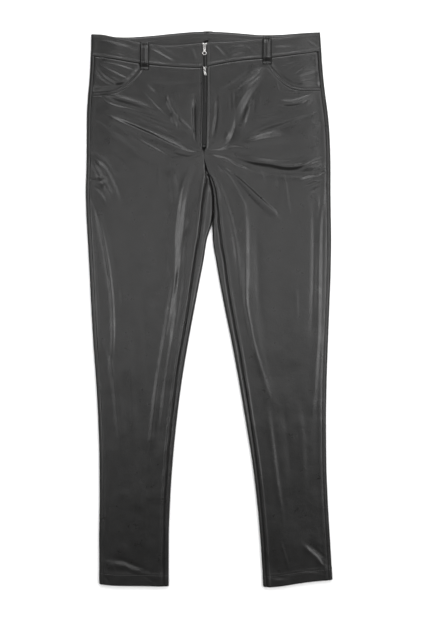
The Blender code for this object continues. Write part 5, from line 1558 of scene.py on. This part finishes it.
def pull(name, body, spot, loops):
    tab = rounded_plate(name + "_plate", loops, PULL_THICK, 0.3)
    tab.matrix_basis = Matrix.Translation(spot) @ Matrix.Rotation(math.radians(PULL_TILT), 4, "X")
    obj = joined(name + "_metal", [tab])
    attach(obj, body)
    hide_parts(name)
    return obj


def window():
    return [(-1.2, -0.5), (-1.2, -3.3), (1.2, -3.3), (1.2, -0.5)]


def upper_pull_outline():
    neck = [(1.9, 0.5), (2.2, 0.1), (2.2, -3.9), (2.1, -5.2), (2.4, -6.4)]
    ring = [p for p in oval(0, -10.3, 4.7, 4.1, 36, 0.45) if p[1] < -7.6]
    ring.sort(key=lambda p: math.atan2(p[0], -10.3 + 4.0 - p[1]), reverse=True)
    return neck + ring + [(-x, y) for x, y in reversed(neck)]


def lower_pull_outline():
    return [(-2.1, 0.5), (-2.1, -3.8), (-1.2, -5.4), (-0.6, -9.2), (-0.3, -9.9), (0.1, -10.3), (0.8, -10.7),
            (1.6, -10.8), (2.4, -10.7), (3.1, -10.3), (3.5, -9.7), (3.6, -9.0), (2.7, -5.2), (2.1, -3.8), (2.1, 0.5)]


def build():
    store = new_store()
    panels = {}
    for side in (-1, 1):
        obj, p, n, e = front_panel(side)
        panels["front", side] = (obj, p, n, e)
        # pocket mouth, two rows; zip edge; hem
        cols = np.where(e["pocket"][0])[0]
        for dist in (1.9, 6.4):
            stitch_row(store, line_along_rows(p, n, dist, cols.min() + 2, cols.max() - 1))
        ys = p[:, 0, 1]
        rows = np.where(ys > 312)[0]
        stitch_row(store, line_along_cols(p, n, 5.2, 2, rows.max()))
        stitch_row(store, line_along_rows(p, n, HEM_TURN - 3.5, 1, p.shape[1] - 2, from_end=True))
        obj, q, m, e = back_panel(side)
        panels["back", side] = (obj, q, m, e)
        stitch_row(store, line_along_rows(q, m, HEM_TURN - 3.5, 1, q.shape[1] - 2, from_end=True))
        obj, p, n = pocket_facing(side)
        panels["facing", side] = (obj, p, n)
        obj, p, n, e = waistband(side)
        panels["band", side] = (obj, p, n, e)
        stitch_row(store, line_along_rows(p, n, 6.6, 3, p.shape[1] - 3, from_end=True))
        stitch_row(store, line_along_rows(p, n, 5.0, 3, p.shape[1] - 3))
        stitch_row(store, line_along_cols(p, n, 5.2, 3, p.shape[0] - 4))
    for loop in FRONT_LOOPS:
        obj, p, n = front_loop(loop)
        for back in (False, True):
            stitch_row(store, line_along_cols(p, n, 2.9, 2, p.shape[0] - 3, from_end=back), proud=0.1)
        for at in (1.6, 2.4, 3.2):
            for end in (False, True):
                stitch_row(store, line_along_rows(p, n, at, 3, p.shape[1] - 4, from_end=end), pitch=1.2, length=1.3, proud=0.1)
    obj, p, n = back_loop()
    for back in (False, True):
        stitch_row(store, line_along_cols(p, n, 2.9, 2, p.shape[0] - 3, from_end=back), proud=0.0)
    stitches_object("topstitching", store, MATS["thread"])
    tape = zip_tape()
    zip_chain()
    joints = {j["name"]: j["pos_m"] for j in frame["record"]["behaviour"]["joints"]}
    for spec in SLIDERS:
        slider(spec)
    pull("zip_pull_upper", "pull_upper", Vector(joints["pull_upper_swing"]),
         [upper_pull_outline(), window(), oval(0, -10.4, 2.9, 2.3, 24, 0.4)])
    pull("zip_pull_lower", "pull_lower", Vector(joints["pull_lower_swing"]),
         [lower_pull_outline(), window(), oval(1.75, -8.6, 0.9, 1.0, 14)])
    return panels


build()


# ------------------------------------------------------- stage and lighting
def floor():
    mat, tree, shader, coords = nodes_of("studio_floor")
    shade = noise(tree, coords, 2.0, 2.0)
    tree.links.new(ramp(tree, shade, grey(0.975), grey(0.985)), shader.inputs["Base Color"])
    shader.inputs["Roughness"].default_value = 0.9
    mesh = bpy.data.meshes.new("studio_floor")
    s = 4.0
    mesh.from_pydata([(-s, -s, -0.0002), (s, -s, -0.0002), (s, s, -0.0002), (-s, s, -0.0002)], [], [(0, 1, 2, 3)])
    mesh.materials.append(mat)
    obj = bpy.data.objects.new("studio_floor", mesh)
    bpy.context.scene.collection.objects.link(obj)


def softbox(name, spot, size, power, aim=(0, 0, 0)):
    data = bpy.data.lights.new(name, "AREA")
    data.shape = "RECTANGLE"
    data.size, data.size_y = size
    data.energy = power
    obj = bpy.data.objects.new(name, data)
    obj.location = spot
    obj.rotation_euler = (Vector(aim) - Vector(spot)).to_track_quat("-Z", "Y").to_euler()
    bpy.context.scene.collection.objects.link(obj)
    return obj


floor()
softbox("overhead_softbox", (0.0, 0.22, 2.7), (1.3, 1.1), 14.0, (0.0, 0.10, 0.0))
softbox("top_softbox", (0.0, 2.0, 2.1), (1.4, 0.9), 32.0)
softbox("high_softbox", (0.0, 1.75, 2.3), (1.4, 0.5), 13.0)
softbox("corner_softbox", (1.15, 1.25, 2.3), (0.8, 0.7), 14.0)
softbox("right_softbox", (-1.5, 0.05, 2.4), (0.9, 1.2), 24.0)
softbox("left_softbox", (1.5, 0.05, 2.4), (0.9, 1.2), 40.0)

world = bpy.data.worlds.new("studio")
bpy.context.scene.world = world
world.use_nodes = True
world.node_tree.nodes["Background"].inputs["Color"].default_value = (1, 1, 1, 1)
world.node_tree.nodes["Background"].inputs["Strength"].default_value = 0.12

FRAME_HEIGHT = 1.2083       # metres of the surface that the picture is high
CAMERA_UP = 2.5
camera = bpy.data.cameras.new("camera")
camera.sensor_fit = "VERTICAL"
camera.angle_y = 2 * math.atan(FRAME_HEIGHT / 2 / (CAMERA_UP - 0.010))
camera.clip_end = 20.0
eye = bpy.data.objects.new("camera", camera)
eye.location = (0.00736, -0.0208, CAMERA_UP)
bpy.context.scene.collection.objects.link(eye)
bpy.context.scene.camera = eye

view = bpy.context.scene.view_settings
view.view_transform = "Standard"
view.look = "None"

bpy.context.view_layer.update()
